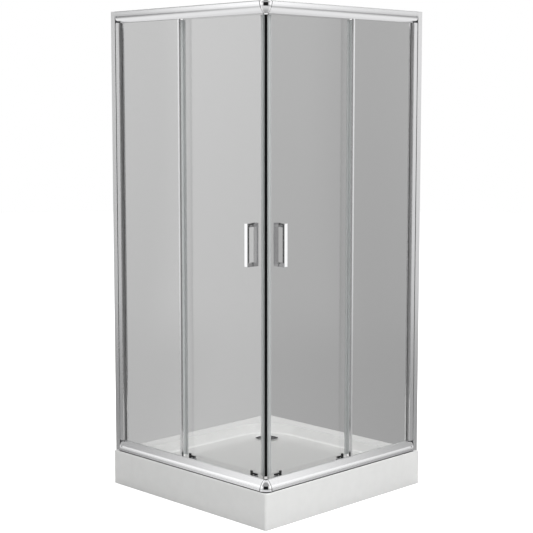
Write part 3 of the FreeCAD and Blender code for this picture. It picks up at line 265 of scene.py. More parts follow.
def facing(tree, axis, start, end):
    """0 to 1 as the surface turns from start to end of facing along that axis."""
    normal = add(tree, "ShaderNodeNewGeometry").outputs["Normal"]
    share = add(tree, "ShaderNodeSeparateXYZ", {0: normal}).outputs[axis]
    inputs = {"Value": share, "From Min": start, "From Max": end}
    return add(tree, "ShaderNodeMapRange", inputs).outputs["Result"]


def end_material(made, tree, body):
    """Ends a material's tree with one principled surface, and gives back the material."""
    surface = add(tree, "ShaderNodeBsdfPrincipled", body)
    add(tree, "ShaderNodeOutputMaterial", {"Surface": surface.outputs[0]})
    return made


def sanitary_acrylic():
    """White acrylic: glossy, faintly uneven above, grained with painted shade underfoot, dull resin beneath.
    """
    made, tree = new_material("sanitary_acrylic")
    where = add(tree, "ShaderNodeTexCoord").outputs["Object"]
    height = add(tree, "ShaderNodeSeparateXYZ", {0: where}).outputs["Z"]
    low = {"Value": height, "From Min": BASIN_FLOOR + GRAIN_GONE, "From Max": BASIN_FLOOR + GRAIN_FULL}
    low = add(tree, "ShaderNodeMapRange", low).outputs["Result"]
    on_floor = add(tree, "ShaderNodeMath", {0: low, 1: facing(tree, "Z", 0.9, 0.98)}, operation="MULTIPLY")
    on_floor = on_floor.outputs[0]
    beneath = facing(tree, "Z", -0.3, -0.6)
    peel = add(tree, "ShaderNodeTexNoise", {"Vector": where, "Scale": scale_for(PEEL_MM), "Detail": 2})
    grain = {"Vector": where, "Scale": scale_for(GRAIN_MM)}
    grain = add(tree, "ShaderNodeTexVoronoi", grain, feature="SMOOTH_F1")
    strand = {"Vector": where, "Scale": scale_for(STRAND_MM), "Detail": 8, "Distortion": 2.5}
    strand = add(tree, "ShaderNodeTexNoise", strand)
    peel_bump = add(tree, "ShaderNodeBump", {"Height": peel.outputs[0], "Strength": 0.08, "Distance": 0.0006})
    grain_share = add(tree, "ShaderNodeMath", {0: on_floor, 1: 0.5}, operation="MULTIPLY").outputs[0]
    grain_bump = {
        "Height": grain.outputs["Distance"], "Strength": grain_share, "Distance": 0.0006,
        "Normal": peel_bump.outputs[0],
    }
    grain_bump = add(tree, "ShaderNodeBump", grain_bump)
    strand_bump = {
        "Height": strand.outputs[0], "Strength": beneath, "Distance": 0.001, "Normal": grain_bump.outputs[0],
    }
    strand_bump = add(tree, "ShaderNodeBump", strand_bump)
    mottle = add(tree, "ShaderNodeTexNoise", {"Vector": where, "Scale": MOTTLE_SCALE, "Detail": 5})
    colour = {0: mottle.outputs[0], 6: ACRYLIC_WHITE, 7: ACRYLIC_SHADE}
    colour = add(tree, "ShaderNodeMix", colour, data_type="RGBA").outputs[2]
    # The standing floor is painted a darker grey: painted shade for its grain's small shadows.
    colour = {0: on_floor, 6: colour, 7: PAINTED_GRAIN_SHADE}
    colour = add(tree, "ShaderNodeMix", colour, data_type="RGBA").outputs[2]
    backing = {0: strand.outputs[0], 6: RESIN_CREAM, 7: RESIN_STRAND}
    backing = add(tree, "ShaderNodeMix", backing, data_type="RGBA").outputs[2]
    colour = {0: beneath, 6: colour, 7: backing}
    colour = add(tree, "ShaderNodeMix", colour, data_type="RGBA").outputs[2]
    dull = add(tree, "ShaderNodeMath", {0: on_floor, 1: beneath}, operation="MAXIMUM").outputs[0]
    rough = add(tree, "ShaderNodeMapRange", {"Value": dull, "To Min": 0.16, "To Max": 0.42}).outputs["Result"]
    body = {
        "Base Color": colour, "Roughness": rough, "IOR": 1.49, "Normal": strand_bump.outputs[0],
        "Coat Weight": 0.25, "Coat Roughness": 0.05,
    }
    return end_material(made, tree, body)


def finish_node(name, material):
    """Gives a CAD node that keeps its shape its material."""
    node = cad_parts[name]
    node.data.materials.clear()
    node.data.materials.append(material)


finish_node("tray_shell", sanitary_acrylic())


# The board under the basin: chipboard, laid into the wet backing so that the feet have something to
# bear on. Pressed flakes of wood show on its faces and its sawn edge.
FLAKE_MM = 7
FIBRE_MM = FLAKE_MM / 6
FLAKE_LIGHT = "C9AE84"
FLAKE_DARK = "8F7248"


def chipboard():
    """Pressed wood flakes: dry and dull, each flake its own tone of straw to brown."""
    made, tree = new_material("chipboard")
    where = add(tree, "ShaderNodeTexCoord").outputs["Object"]
    flakes = {"Vector": where, "Scale": scale_for(FLAKE_MM), "Randomness": 1.0}
    flakes = add(tree, "ShaderNodeTexVoronoi", flakes, distance="MANHATTAN")
    tone = add(tree, "ShaderNodeSeparateXYZ", {0: flakes.outputs["Color"]}).outputs["X"]
    fibre = {"Vector": where, "Scale": scale_for(FIBRE_MM), "Detail": 4}
    fibre = add(tree, "ShaderNodeTexNoise", fibre)
    tone = add(tree, "ShaderNodeMath", {0: tone, 1: fibre.outputs[0]}, operation="MULTIPLY").outputs[0]
    colour = {0: tone, 6: FLAKE_LIGHT, 7: FLAKE_DARK}
    colour = add(tree, "ShaderNodeMix", colour, data_type="RGBA").outputs[2]
    pressed = add(tree, "ShaderNodeBump", {"Height": tone, "Strength": 0.4, "Distance": 0.0004})
    body = {"Base Color": colour, "Roughness": 0.78, "Normal": pressed.outputs[0]}
    return end_material(made, tree, body)


finish_node("tray_board", chipboard())


# The screw feet: threaded steel rods with a nut under the board, zinc plated in a barrel, so bright
# grey with a faint crystal pattern, each standing in a ribbed pad of moulded black rubber.
ZINC_GREY = "C4C6C8"
ZINC_SHADE = "A9ACAF"
CRYSTAL_MM = 2.5  # coarser than real ones, which wouldn't show
THREAD_PITCH = 0.00175
THREAD_DEPTH = 0.001
THREAD_FILL = 0.85  # the ridge's radius in thread depths
ROD_RADIUS = 0.006
NUT_RADIUS = 0.0098
NUT_HEIGHT = 0.0065
NUT_ROUNDING = 1.04  # the sphere that takes the nut's sharp corners off, in nut radii
WASHER_THICKNESS = 0.0015
PAD_RADIUS = 0.024
PAD_HEIGHT = 0.012
PAD_SOLE = 0.004
PAD_CROWN_RADIUS = 0.014
SAME_PLACE = 1e-6  # corners nearer than this are one
PAD_SHOULDER = 0.86  # where the cone meets the sole, in pad radii
PAD_RIBS = 20
RIB_THICKNESS = 0.0014
RIB_RISE = 0.7  # the ribs' height, in heights of the cone
MOULD_CLOUD_MM = 30
MOULD_SHADE = 0.9  # the darker parts of the colour, to the lighter
MOULD_UNEVEN = 0.15  # how much the gloss goes up and down
GRAIN_RELIEF = 0.25  # its depth, in grain widths


def zinc_plated_steel():
    """Steel plated in a barrel: a soft bright grey whose crystals differ in tone and gloss."""
    made, tree = new_material("zinc_plated_steel")
    where = add(tree, "ShaderNodeTexCoord").outputs["Object"]
    crystals = add(tree, "ShaderNodeTexVoronoi", {"Vector": where, "Scale": scale_for(CRYSTAL_MM)})
    tone = add(tree, "ShaderNodeSeparateXYZ", {0: crystals.outputs["Color"]}).outputs["X"]
    rough = add(tree, "ShaderNodeMapRange", {"Value": tone, "To Min": 0.24, "To Max": 0.4}).outputs["Result"]
    colour = {0: tone, 6: ZINC_GREY, 7: ZINC_SHADE}
    colour = add(tree, "ShaderNodeMix", colour, data_type="RGBA").outputs[2]
    body = {"Base Color": colour, "Roughness": rough, "Metallic": 1.0}
    return end_material(made, tree, body)


def moulded(name, code, roughness, grain_mm, ior=1.5):
    """A moulded plastic or rubber: the mould's grain, coarse enough to show, and a cloudy colour."""
    made, tree = new_material(name)
    where = add(tree, "ShaderNodeTexCoord").outputs["Object"]
    grain = add(tree, "ShaderNodeTexNoise", {"Vector": where, "Scale": scale_for(grain_mm), "Detail": 4})
    cloud = {"Vector": where, "Scale": scale_for(MOULD_CLOUD_MM), "Detail": 3}
    cloud = add(tree, "ShaderNodeTexNoise", cloud)
    shade = "".join(f"{int(int(code[i : i + 2], 16) * MOULD_SHADE):02X}" for i in (0, 2, 4))
    dullest, glossiest = roughness * (1 + MOULD_UNEVEN), roughness * (1 - MOULD_UNEVEN)
    rough = {"Value": grain.outputs[0], "To Min": glossiest, "To Max": dullest}
    rough = add(tree, "ShaderNodeMapRange", rough).outputs["Result"]
    texture = {"Height": grain.outputs[0], "Strength": 0.15, "Distance": grain_mm / 1000 * GRAIN_RELIEF}
    texture = add(tree, "ShaderNodeBump", texture)
    colour = {0: cloud.outputs[0], 6: code, 7: shade}
    colour = add(tree, "ShaderNodeMix", colour, data_type="RGBA").outputs[2]
    body = {"Base Color": colour, "Roughness": rough, "IOR": ior, "Normal": texture.outputs[0]}
    return end_material(made, tree, body)


zinc = zinc_plated_steel()
black_rubber = moulded("black_rubber", "2A2A2A", roughness=0.7, grain_mm=1.2, ior=1.52)


def solids_of(name):
    """The separate solids of a CAD node, each as a list of its corners."""
    shape = bmesh.new()
    shape.from_mesh(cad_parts[name].data)
    bmesh.ops.remove_doubles(shape, verts=shape.verts, dist=SAME_PLACE)
    left = dict.fromkeys(shape.verts)
    solids = []
    while left:
        found = [left.popitem()[0]]
        for vertex in found:
            for edge in vertex.link_edges:
                other = edge.other_vert(vertex)
                if other in left:
                    del left[other]
                    found.append(other)
        solids.append([vertex.co.copy() for vertex in found])
    shape.free()
    return solids


def middle_of(points):
    """The middle of the box round some points."""
    low = Vector([min(p[i] for p in points) for i in range(3)])
    high = Vector([max(p[i] for p in points) for i in range(3)])
    return (low + high) / 2


def geometry_tree(name, sizes):
    """A new Geometry Nodes tree that takes a mesh, the named sizes and a material."""
    tree = bpy.data.node_groups.new(name, "GeometryNodeTree")
    tree.interface.new_socket("Base", in_out="INPUT", socket_type="NodeSocketGeometry")
    for size in sizes:
        tree.interface.new_socket(size, in_out="INPUT", socket_type="NodeSocketFloat")
    tree.interface.new_socket("Material", in_out="INPUT", socket_type="NodeSocketMaterial")
    tree.interface.new_socket("Made", in_out="OUTPUT", socket_type="NodeSocketGeometry")
    return tree, add(tree, "NodeGroupInput").outputs


def end_tree(tree, given, geometry):
    """Ends a tree: instances made real, and the material set."""
    real = add(tree, "GeometryNodeRealizeInstances", {"Geometry": geometry})
    dressed = {"Geometry": real.outputs[0], "Material": given["Material"]}
    dressed = add(tree, "GeometryNodeSetMaterial", dressed)
    add(tree, "NodeGroupOutput", {"Made": dressed.outputs[0]})


def grown(name, tree, points, edges, values, towards=None):
    """The plain mesh object that a tree makes from points and edges, with its inputs set by name."""
    mesh = bpy.data.meshes.new(name + "_base")
    mesh.from_pydata(points, edges, [])
    if towards:
        mesh.attributes.new("towards", "FLOAT_VECTOR", "POINT")
        for item, direction in zip(mesh.attributes["towards"].data, towards):
            item.vector = direction
    made = placed(name, mesh)
    modifier = made.modifiers.new("grow", "NODES")
    modifier.node_group = tree
    for item in tree.interface.items_tree:
        if item.name in values:
            modifier[item.identifier] = values[item.name]
    graph = bpy.context.evaluated_depsgraph_get()
    result = bpy.data.meshes.new_from_object(made.evaluated_get(graph), depsgraph=graph)
    made.modifiers.clear()
    made.data = result
    return made


def rod_tree():
    """Threaded rods that hang from their top points, each with a hexagon nut and a washer."""
    sizes = ["Length", "Radius", "Pitch", "Depth", "Nut radius", "Nut height"]
    tree, given = geometry_tree("threaded_foot", sizes)
    drops = []
    for share in (-0.5, -1.0):
        drop = {0: given["Length"], 1: share}
        drop = add(tree, "ShaderNodeMath", drop, operation="MULTIPLY").outputs[0]
        drops.append(add(tree, "ShaderNodeCombineXYZ", {"Z": drop}).outputs[0])
    half_down, down = drops
    core_radius = {0: given["Radius"], 1: given["Depth"]}
    core_radius = add(tree, "ShaderNodeMath", core_radius, operation="SUBTRACT").outputs[0]
    core = {"Vertices": 32, "Radius": core_radius, "Depth": given["Length"]}
    core = add(tree, "GeometryNodeMeshCylinder", core).outputs["Mesh"]
    core = add(tree, "GeometryNodeTransform", {"Geometry": core, "Translation": half_down})
    turns = {0: given["Length"], 1: given["Pitch"]}
    turns = add(tree, "ShaderNodeMath", turns, operation="DIVIDE").outputs[0]
    spiral = {
        "Resolution": 14, "Rotations": turns, "Start Radius": core_radius, "End Radius": core_radius,
        "Height": given["Length"],
    }
    spiral = add(tree, "GeometryNodeCurveSpiral", spiral)
    spiral = add(tree, "GeometryNodeSetCurveNormal", {"Curve": spiral.outputs[0]}, mode="Z_UP")
    ridge_radius = {0: given["Depth"], 1: THREAD_FILL}
    ridge_radius = add(tree, "ShaderNodeMath", ridge_radius, operation="MULTIPLY").outputs[0]
    ridge = add(tree, "GeometryNodeCurvePrimitiveCircle", {"Resolution": 3, "Radius": ridge_radius})
    ridge = {"Curve": spiral.outputs[0], "Profile Curve": ridge.outputs[0], "Fill Caps": True}
    ridge = add(tree, "GeometryNodeCurveToMesh", ridge)
    ridge = add(tree, "GeometryNodeTransform", {"Geometry": ridge.outputs[0], "Translation": down})
    nut = {"Vertices": 6, "Radius": given["Nut radius"], "Depth": given["Nut height"]}
    nut = add(tree, "GeometryNodeMeshCylinder", nut).outputs["Mesh"]
    rounding = {0: given["Nut radius"], 1: NUT_ROUNDING}
    rounding = add(tree, "ShaderNodeMath", rounding, operation="MULTIPLY").outputs[0]
    rounding = {"Segments": 48, "Rings": 24, "Radius": rounding}
    rounding = add(tree, "GeometryNodeMeshUVSphere", rounding).outputs["Mesh"]
    nut = add(tree, "GeometryNodeMeshBoolean", {"Mesh 2": [nut, rounding]}, operation="INTERSECT")
    nut = nut.outputs["Mesh"]
    under_board = (0, 0, -(BOARD_THICKNESS + WASHER_THICKNESS + NUT_HEIGHT / 2))
    nut = add(tree, "GeometryNodeTransform", {"Geometry": nut, "Translation": under_board})
    washer = {"Vertices": 48, "Radius": given["Nut radius"], "Depth": WASHER_THICKNESS}
    washer = add(tree, "GeometryNodeMeshCylinder", washer).outputs["Mesh"]
    under_board = (0, 0, -(BOARD_THICKNESS + WASHER_THICKNESS / 2))
    washer = add(tree, "GeometryNodeTransform", {"Geometry": washer, "Translation": under_board})
    whole = [core.outputs[0], ridge.outputs[0], nut.outputs[0], washer.outputs[0]]
    whole = add(tree, "GeometryNodeJoinGeometry", {"Geometry": whole})
    feet = add(tree, "GeometryNodeInstanceOnPoints", {"Points": given["Base"], "Instance": whole.outputs[0]})
    end_tree(tree, given, feet.outputs[0])
    return tree


def pad_tree():
    """Round pads that stand on their points: a flat sole, a cone above it, and ribs round the cone."""
    tree, given = geometry_tree("ribbed_pad", ["Radius", "Height", "Sole", "Crown radius"])
    sole = {"Vertices": 64, "Radius": given["Radius"], "Depth": given["Sole"]}
    sole = add(tree, "GeometryNodeMeshCylinder", sole).outputs["Mesh"]
    half_sole = {0: given["Sole"], 1: 0.5}
    half_sole = add(tree, "ShaderNodeMath", half_sole, operation="MULTIPLY").outputs[0]
    half_sole = add(tree, "ShaderNodeCombineXYZ", {"Z": half_sole}).outputs[0]
    sole = add(tree, "GeometryNodeTransform", {"Geometry": sole, "Translation": half_sole})
    rise = {0: given["Height"], 1: given["Sole"]}
    rise = add(tree, "ShaderNodeMath", rise, operation="SUBTRACT").outputs[0]
    shoulder = {0: given["Radius"], 1: PAD_SHOULDER}
    shoulder = add(tree, "ShaderNodeMath", shoulder, operation="MULTIPLY").outputs[0]
    cone = {"Vertices": 64, "Radius Top": given["Crown radius"], "Radius Bottom": shoulder, "Depth": rise}
    cone = add(tree, "GeometryNodeMeshCone", cone).outputs["Mesh"]
    on_sole = add(tree, "ShaderNodeCombineXYZ", {"Z": given["Sole"]}).outputs[0]
    cone = add(tree, "GeometryNodeTransform", {"Geometry": cone, "Translation": on_sole})
    reach = {0: shoulder, 1: given["Crown radius"]}
    reach = add(tree, "ShaderNodeMath", reach, operation="SUBTRACT").outputs[0]
    rib_rise = add(tree, "ShaderNodeMath", {0: rise, 1: RIB_RISE}, operation="MULTIPLY").outputs[0]
    rib_size = {"X": reach, "Y": RIB_THICKNESS, "Z": rib_rise}
    rib_size = add(tree, "ShaderNodeCombineXYZ", rib_size).outputs[0]
    rib = add(tree, "GeometryNodeMeshCube", {"Size": rib_size}).outputs["Mesh"]
    both_radii = {0: shoulder, 1: given["Crown radius"]}
    both_radii = add(tree, "ShaderNodeMath", both_radii, operation="ADD").outputs[0]
    ring_radius = add(tree, "ShaderNodeMath", {0: both_radii, 1: 0.5}, operation="MULTIPLY").outputs[0]
    ring = add(tree, "GeometryNodeMeshCircle", {"Vertices": PAD_RIBS, "Radius": ring_radius}).outputs["Mesh"]
    outwards = add(tree, "GeometryNodeInputPosition").outputs[0]
    turn = add(tree, "FunctionNodeAlignRotationToVector", {"Vector": outwards}, axis="X", pivot_axis="Z")
    ribs = {"Points": ring, "Instance": rib, "Rotation": turn.outputs[0]}
    ribs = add(tree, "GeometryNodeInstanceOnPoints", ribs)
    half_rib = add(tree, "ShaderNodeMath", {0: rise, 1: RIB_RISE / 2}, operation="MULTIPLY").outputs[0]
    lift = add(tree, "ShaderNodeMath", {0: given["Sole"], 1: half_rib}, operation="ADD").outputs[0]
    lift = add(tree, "ShaderNodeCombineXYZ", {"Z": lift}).outputs[0]
    ribs = add(tree, "GeometryNodeTransform", {"Geometry": ribs.outputs[0], "Translation": lift})
    parts = [sole.outputs[0], cone.outputs[0], ribs.outputs[0]]
    whole = add(tree, "GeometryNodeJoinGeometry", {"Geometry": parts})
    pads = add(tree, "GeometryNodeInstanceOnPoints", {"Points": given["Base"], "Instance": whole.outputs[0]})
    end_tree(tree, given, pads.outputs[0])
    return tree


board_low, board_high = (corner.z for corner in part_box("tray_board"))
BOARD_THICKNESS = board_high - board_low
foot_places = [middle_of(solid) for solid in solids_of("tray_foot_studs")]
rod_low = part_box("tray_foot_studs")[0].z

rods = grown(
    "foot_rods",
    rod_tree(),
    [(p.x, p.y, board_high) for p in foot_places],
    [],
    {
        "Length": board_high - rod_low, "Radius": ROD_RADIUS, "Pitch": THREAD_PITCH, "Depth": THREAD_DEPTH,
        "Nut radius": NUT_RADIUS, "Nut height": NUT_HEIGHT, "Material": zinc,
    },
)
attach(rods, "frame")
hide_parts("tray_foot_studs")

pads = grown(
    "foot_pads",
    pad_tree(),
    [(p.x, p.y, 0) for p in foot_places],
    [],
    {
        "Radius": PAD_RADIUS, "Height": PAD_HEIGHT, "Sole": PAD_SOLE, "Crown radius": PAD_CROWN_RADIUS,
        "Material": black_rubber,
    },
)
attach(pads, "frame")
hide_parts("tray_foot_pads")


# The waste: a flange and trap of moulded white polypropylene clamped through the basin on a rubber
# seal, with a cup that lifts out under a domed cover of chrome-plated plastic.
POLYPROPYLENE_WHITE = "DCDCDA"
CHROME_WHITE = "F3F3F4"
CHROME_RIPPLE_MM = 18


def chrome_plate():
    """Polished and chrome plated: a nearly sharp mirror, with a slow ripple that polishing left."""
    made, tree = new_material("chrome_plate")
    where = add(tree, "ShaderNodeTexCoord").outputs["Object"]
    ripple = add(tree, "ShaderNodeTexNoise", {"Vector": where, "Scale": scale_for(CHROME_RIPPLE_MM)})
    rough = {"Value": ripple.outputs[0], "To Min": 0.03, "To Max": 0.08}
    rough = add(tree, "ShaderNodeMapRange", rough).outputs["Result"]
    wave = add(tree, "ShaderNodeBump", {"Height": ripple.outputs[0], "Strength": 0.05, "Distance": 0.0003})
    body = {
        "Base Color": CHROME_WHITE, "Roughness": rough, "Metallic": 1.0,
        "Normal": wave.outputs[0],
    }
    return end_material(made, tree, body)


chrome = chrome_plate()
polypropylene = moulded("white_polypropylene", POLYPROPYLENE_WHITE, roughness=0.36, grain_mm=0.8, ior=1.49)
seal_rubber = moulded("grey_seal_rubber", "4B4B4B", roughness=0.65, grain_mm=1.0, ior=1.52)
for name in ("waste_flange", "trap_body", "trap_cup"):
    finish_node(name, polypropylene)
finish_node("waste_seal", seal_rubber)
finish_node("drain_cover", chrome)


# The rails: hollow aluminium sections, extruded, polished along their length and bright anodised.
# They mirror like dull chrome, with faint lines that run the way the metal left the die.
ALUMINIUM_BRIGHT = "EFEFF0"
DIE_LINE_MM = 0.9  # coarser than real ones, which wouldn't show
DIE_RUN_MM = 500


def extruded_aluminium(run):
    """Bright anodised aluminium: a slightly blurred mirror, with die lines along that axis."""
    made, tree = new_material("bright_aluminium_along_" + "xyz"[run])
    where = add(tree, "ShaderNodeTexCoord").outputs["Object"]
    stretch = [scale_for(DIE_RUN_MM if axis == run else DIE_LINE_MM) for axis in range(3)]
    along = add(tree, "ShaderNodeMapping", {"Vector": where, "Scale": stretch}).outputs[0]
    lines = add(tree, "ShaderNodeTexNoise", {"Vector": along, "Scale": 1.0, "Detail": 3})
    rough = add(tree, "ShaderNodeMapRange", {"Value": lines.outputs[0], "To Min": 0.14, "To Max": 0.22})
    drawn = add(tree, "ShaderNodeBump", {"Height": lines.outputs[0], "Strength": 0.02, "Distance": 0.00002})
    body = {
        "Base Color": ALUMINIUM_BRIGHT, "Roughness": rough.outputs["Result"], "Metallic": 1.0,
        "Normal": drawn.outputs[0],
    }
    return end_material(made, tree, body)


aluminium_along_x, aluminium_along_y, aluminium_upright = (extruded_aluminium(run) for run in range(3))
SIDE_ALUMINIUM = {"left": aluminium_along_x, "right": aluminium_along_y}
for side, metal in SIDE_ALUMINIUM.items():
    for level in ("top", "bottom"):
        finish_node(f"{level}_rail_{side}", metal)
finish_node("corner_blocks", aluminium_upright)


# Trim that is pressed into the rails: a black cord between bottom rails and tray, which is painted
# shade for the dark line under the rails, grey soft strips that close the empty glass slot and the
# top rails' outer groove, and wedges beside the fixed glass. All are extruded soft plastic or rubber,
# cut to length.
rail_low, rail_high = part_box("bottom_rail_left")
TRAY_TOP = rail_low.z
FRAME_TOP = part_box("top_rail_left")[1].z
RAIL_FRONT = rail_low.y  # the left rails' outer face
RAIL_HEIGHT = rail_high.z - TRAY_TOP
RAIL_END = rail_low.x
CORNER_AXIS = rail_high.x
CORNER_RADIUS = -RAIL_FRONT - CORNER_AXIS
GROOVE = 0.003  # width and height of the groove along the rails' outer edge
CORD = 0.0038
SLOT_WIDTH = 0.007
STRIP_THICKNESS = 0.002
STRIP_SUNK = 0.0005
WEDGE_WIDTH = 0.0009
WEDGE_HEIGHT = 0.0035
WEDGE_PROUD = 0.001
WEDGE_GAP = 0.0005  # from the pane's face to the middle of a wedge
TRIM_PLAY = 0.0001
SLOT_START = 0.001  # past the fixed pane's free edge
BEND_STEPS = 16


def strip_tree():
    """A strip of rectangular section that follows edges, with its bends rounded."""
    tree, given = geometry_tree("pressed_in_strip", ["Width", "Height", "Bend radius"])
    path = add(tree, "GeometryNodeMeshToCurve", {"Mesh": given["Base"]}).outputs[0]
    bends = {"Curve": path, "Radius": given["Bend radius"], "Limit Radius": True, "Count": BEND_STEPS}
    path = add(tree, "GeometryNodeFilletCurve", bends, mode="POLY").outputs[0]
    path = add(tree, "GeometryNodeSetCurveNormal", {"Curve": path}, mode="Z_UP").outputs[0]
    section = {"Width": given["Width"], "Height": given["Height"]}
    section = add(tree, "GeometryNodeCurvePrimitiveQuadrilateral", section).outputs[0]
    strip = {"Curve": path, "Profile Curve": section, "Fill Caps": True}
    strip = add(tree, "GeometryNodeCurveToMesh", strip)
    end_tree(tree, given, strip.outputs[0])
    return tree


STRIP_TREE = strip_tree()


def pressed_in(name, paths, width, height, material, bend=0.0):
    """Strips along paths of points, all of one section, that belong to the fixed frame."""
    points, edges = [], []
    for path in paths:
        edges += [(len(points) + i, len(points) + i + 1) for i in range(len(path) - 1)]
        points += path
    values = {"Width": width, "Height": height, "Bend radius": bend, "Material": material}
    strip = grown(name, STRIP_TREE, points, edges, values)
    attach(strip, "frame")
    return strip


def both_sides(start, end, across, height):
    """A straight path on the left side and its mirror image on the right side."""
    left = [(start, across, height), (end, across, height)]
    return [left, [(-y, -x, z) for x, y, z in left]]


# Black rubber for the cord under the rails and the rims round the caps, both painted shade.
shade_black_epdm = moulded("shade_black_epdm", "141414", roughness=0.55, grain_mm=0.8, ior=1.52)
grey_soft_pvc = moulded("grey_soft_pvc", "C6C7C7", roughness=0.45, grain_mm=0.8, ior=1.53)

# The black cord in the groove under the bottom rails: painted shade for the dark line there.
cord_line = RAIL_FRONT + GROOVE - CORD / 2
pressed_in(
    "painted_shadow_cord",
    [[(RAIL_END, cord_line, TRAY_TOP + GROOVE / 2), (-cord_line, cord_line, TRAY_TOP + GROOVE / 2),
      (-cord_line, -RAIL_END, TRAY_TOP + GROOVE / 2)]],
    CORD, GROOVE, shade_black_epdm, CORNER_RADIUS,
)
groove_line = RAIL_FRONT + GROOVE / 2 + TRIM_PLAY
pressed_in(
    "top_groove_strips",
    both_sides(RAIL_END, CORNER_AXIS, groove_line, FRAME_TOP - GROOVE / 2),
    GROOVE, GROOVE, grey_soft_pvc,
)
glass_low, glass_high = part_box("fixed_glass_left")
slot_line = (glass_low.y + glass_high.y) / 2
slot_mouths = (TRAY_TOP + RAIL_HEIGHT - STRIP_SUNK - STRIP_THICKNESS / 2,
               FRAME_TOP - RAIL_HEIGHT + STRIP_SUNK + STRIP_THICKNESS / 2)
pressed_in(
    "slot_strips",
    [path for mouth in slot_mouths
     for path in both_sides(glass_high.x + SLOT_START, -slot_line, slot_line, mouth)],
    SLOT_WIDTH - 2 * TRIM_PLAY, STRIP_THICKNESS, grey_soft_pvc,
)
side_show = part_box("side_profile_left")[1].x
edge_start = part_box("fixed_edge_profiles")[0].x
wedge_levels = (TRAY_TOP + RAIL_HEIGHT + WEDGE_PROUD - WEDGE_HEIGHT / 2,
                FRAME_TOP - RAIL_HEIGHT - WEDGE_PROUD + WEDGE_HEIGHT / 2)
pressed_in(
    "glass_wedges",
    [path for level in wedge_levels for line in (glass_low.y - WEDGE_GAP, glass_high.y + WEDGE_GAP)
     for path in both_sides(side_show + 2 * TRIM_PLAY, edge_start - 2 * TRIM_PLAY, line, level)],
    WEDGE_WIDTH, WEDGE_HEIGHT, grey_soft_pvc,
)


# The corner caps: bullet-shaped shields of zinc die casting, polished, chrome plated and clipped over
# the mitre blocks. Their edges are rounded over, and a thin black rim all round them is painted shade
# for the dark line at their edges.
CAP_THICKNESS = 0.002
CAP_EDGE = 0.0007
CAP_ROUNDING = 0.009
CAP_HALF_WIDTH = 0.0236
CAP_HEIGHT = 0.053
SHADOW_RIM_SHOW = 0.0012
SHADOW_RIM_THICKNESS = 0.0005
RAIL_UPRIGHT = 0.012
RAIL_SET_BACK = 0.0144  # how far the rail's lip stands behind its foot
CAP_ROWS = 44
CAP_COLUMNS = 40
CAP_AIR = 0.0001  # between the shells' backs and the blocks


def bulge_radius(set_back, rise):
    """The radius of an arc that starts upright and ends that far back and up."""
    return (set_back**2 + rise**2) / (2 * set_back)


def on_corner(around, height, lift):
    """A place on the rounded front corner: its way round from the middle, height, and lift off the face."""
    rise = max(0.0, height - RAIL_UPRIGHT)
    sweep = bulge_radius(RAIL_SET_BACK, RAIL_HEIGHT - RAIL_UPRIGHT)
    level_share = math.sqrt(1 - (rise / sweep) ** 2)
    radius = CORNER_RADIUS - sweep * (1 - level_share) + lift * level_share
    height += lift * rise / sweep
    angle = max(-math.pi / 4, min(math.pi / 4, around / radius))
    beyond = around - angle * radius
    outwards = Vector((math.cos(angle - math.pi / 4), math.sin(angle - math.pi / 4), 0))
    sideways = Vector((-outwards.y, outwards.x, 0))
    return Vector((CORNER_AXIS, -CORNER_AXIS, height)) + outwards * radius + sideways * beyond


def shield(name, grow, edge, thickness, rounding):
    """A closed bullet-shaped shell on the bottom corner, and its mirror image on the top one."""
    low, high = GROOVE, RAIL_HEIGHT
    side_radius = bulge_radius(CAP_HALF_WIDTH, CAP_HEIGHT)
    shape = bmesh.new()
    layers = []
    for is_front in (False, True):
        rows = []
        for j in range(CAP_ROWS + 1):
            height = low + (high - low) * j / CAP_ROWS
            half = CAP_HALF_WIDTH - side_radius + math.sqrt(side_radius**2 - height**2)
            radius = (on_corner(0, height, thickness) - Vector((CORNER_AXIS, -CORNER_AXIS, height))).xy.length
            half_way = radius * math.asin(min(0.999, half / radius)) + grow
            row = []
            for i in range(-CAP_COLUMNS, CAP_COLUMNS + 1):
                share = math.sin(math.pi / 2 * i / CAP_COLUMNS)
                inset = min((1 - abs(share)) * half_way, height - low, high - height)
                dome = math.sqrt(max(0.0, 1 - (1 - min(1.0, inset / rounding)) ** 2)) if rounding else 1.0
                lift = edge + (thickness - edge) * dome if is_front else CAP_AIR
                row.append(shape.verts.new(on_corner(share * half_way, height, lift)))
            rows.append(row)
        layers.append(rows)
    back, front = layers
    for j in range(CAP_ROWS):
        for i in range(2 * CAP_COLUMNS):
            for rows in layers:
                shape.faces.new((rows[j][i], rows[j][i + 1], rows[j + 1][i + 1], rows[j + 1][i]))
        for i in (0, -1):
            shape.faces.new((back[j][i], front[j][i], front[j + 1][i], back[j + 1][i]))
    for j in (0, -1):
        for i in range(2 * CAP_COLUMNS):
            shape.faces.new((back[j][i], front[j][i], front[j][i + 1], back[j][i + 1]))
    whole = bmesh.ops.duplicate(shape, geom=shape.verts[:] + shape.edges[:] + shape.faces[:])
    for item in whole["geom"]:
        if isinstance(item, bmesh.types.BMVert):
            item.co.z = FRAME_TOP - TRAY_TOP - item.co.z
    for vertex in shape.verts:
        vertex.co.z += TRAY_TOP
    bmesh.ops.recalc_face_normals(shape, faces=shape.faces)
    mesh = bpy.data.meshes.new(name)
    shape.to_mesh(mesh)
    shape.free()
    made = placed(name, mesh)
    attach(made, "frame")
    return made


caps = shield("bullet_caps", 0.0, CAP_EDGE, CAP_THICKNESS, CAP_ROUNDING)
caps.data.materials.append(chrome)
caps.data.shade_smooth()
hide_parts("corner_caps")
# A thin black rim round each cap: painted shade for the dark line at the caps' edges.
cap_shadow_rims = shield("cap_shadow_rims", SHADOW_RIM_SHOW, SHADOW_RIM_THICKNESS, SHADOW_RIM_THICKNESS, 0)
cap_shadow_rims.data.materials.append(shade_black_epdm)


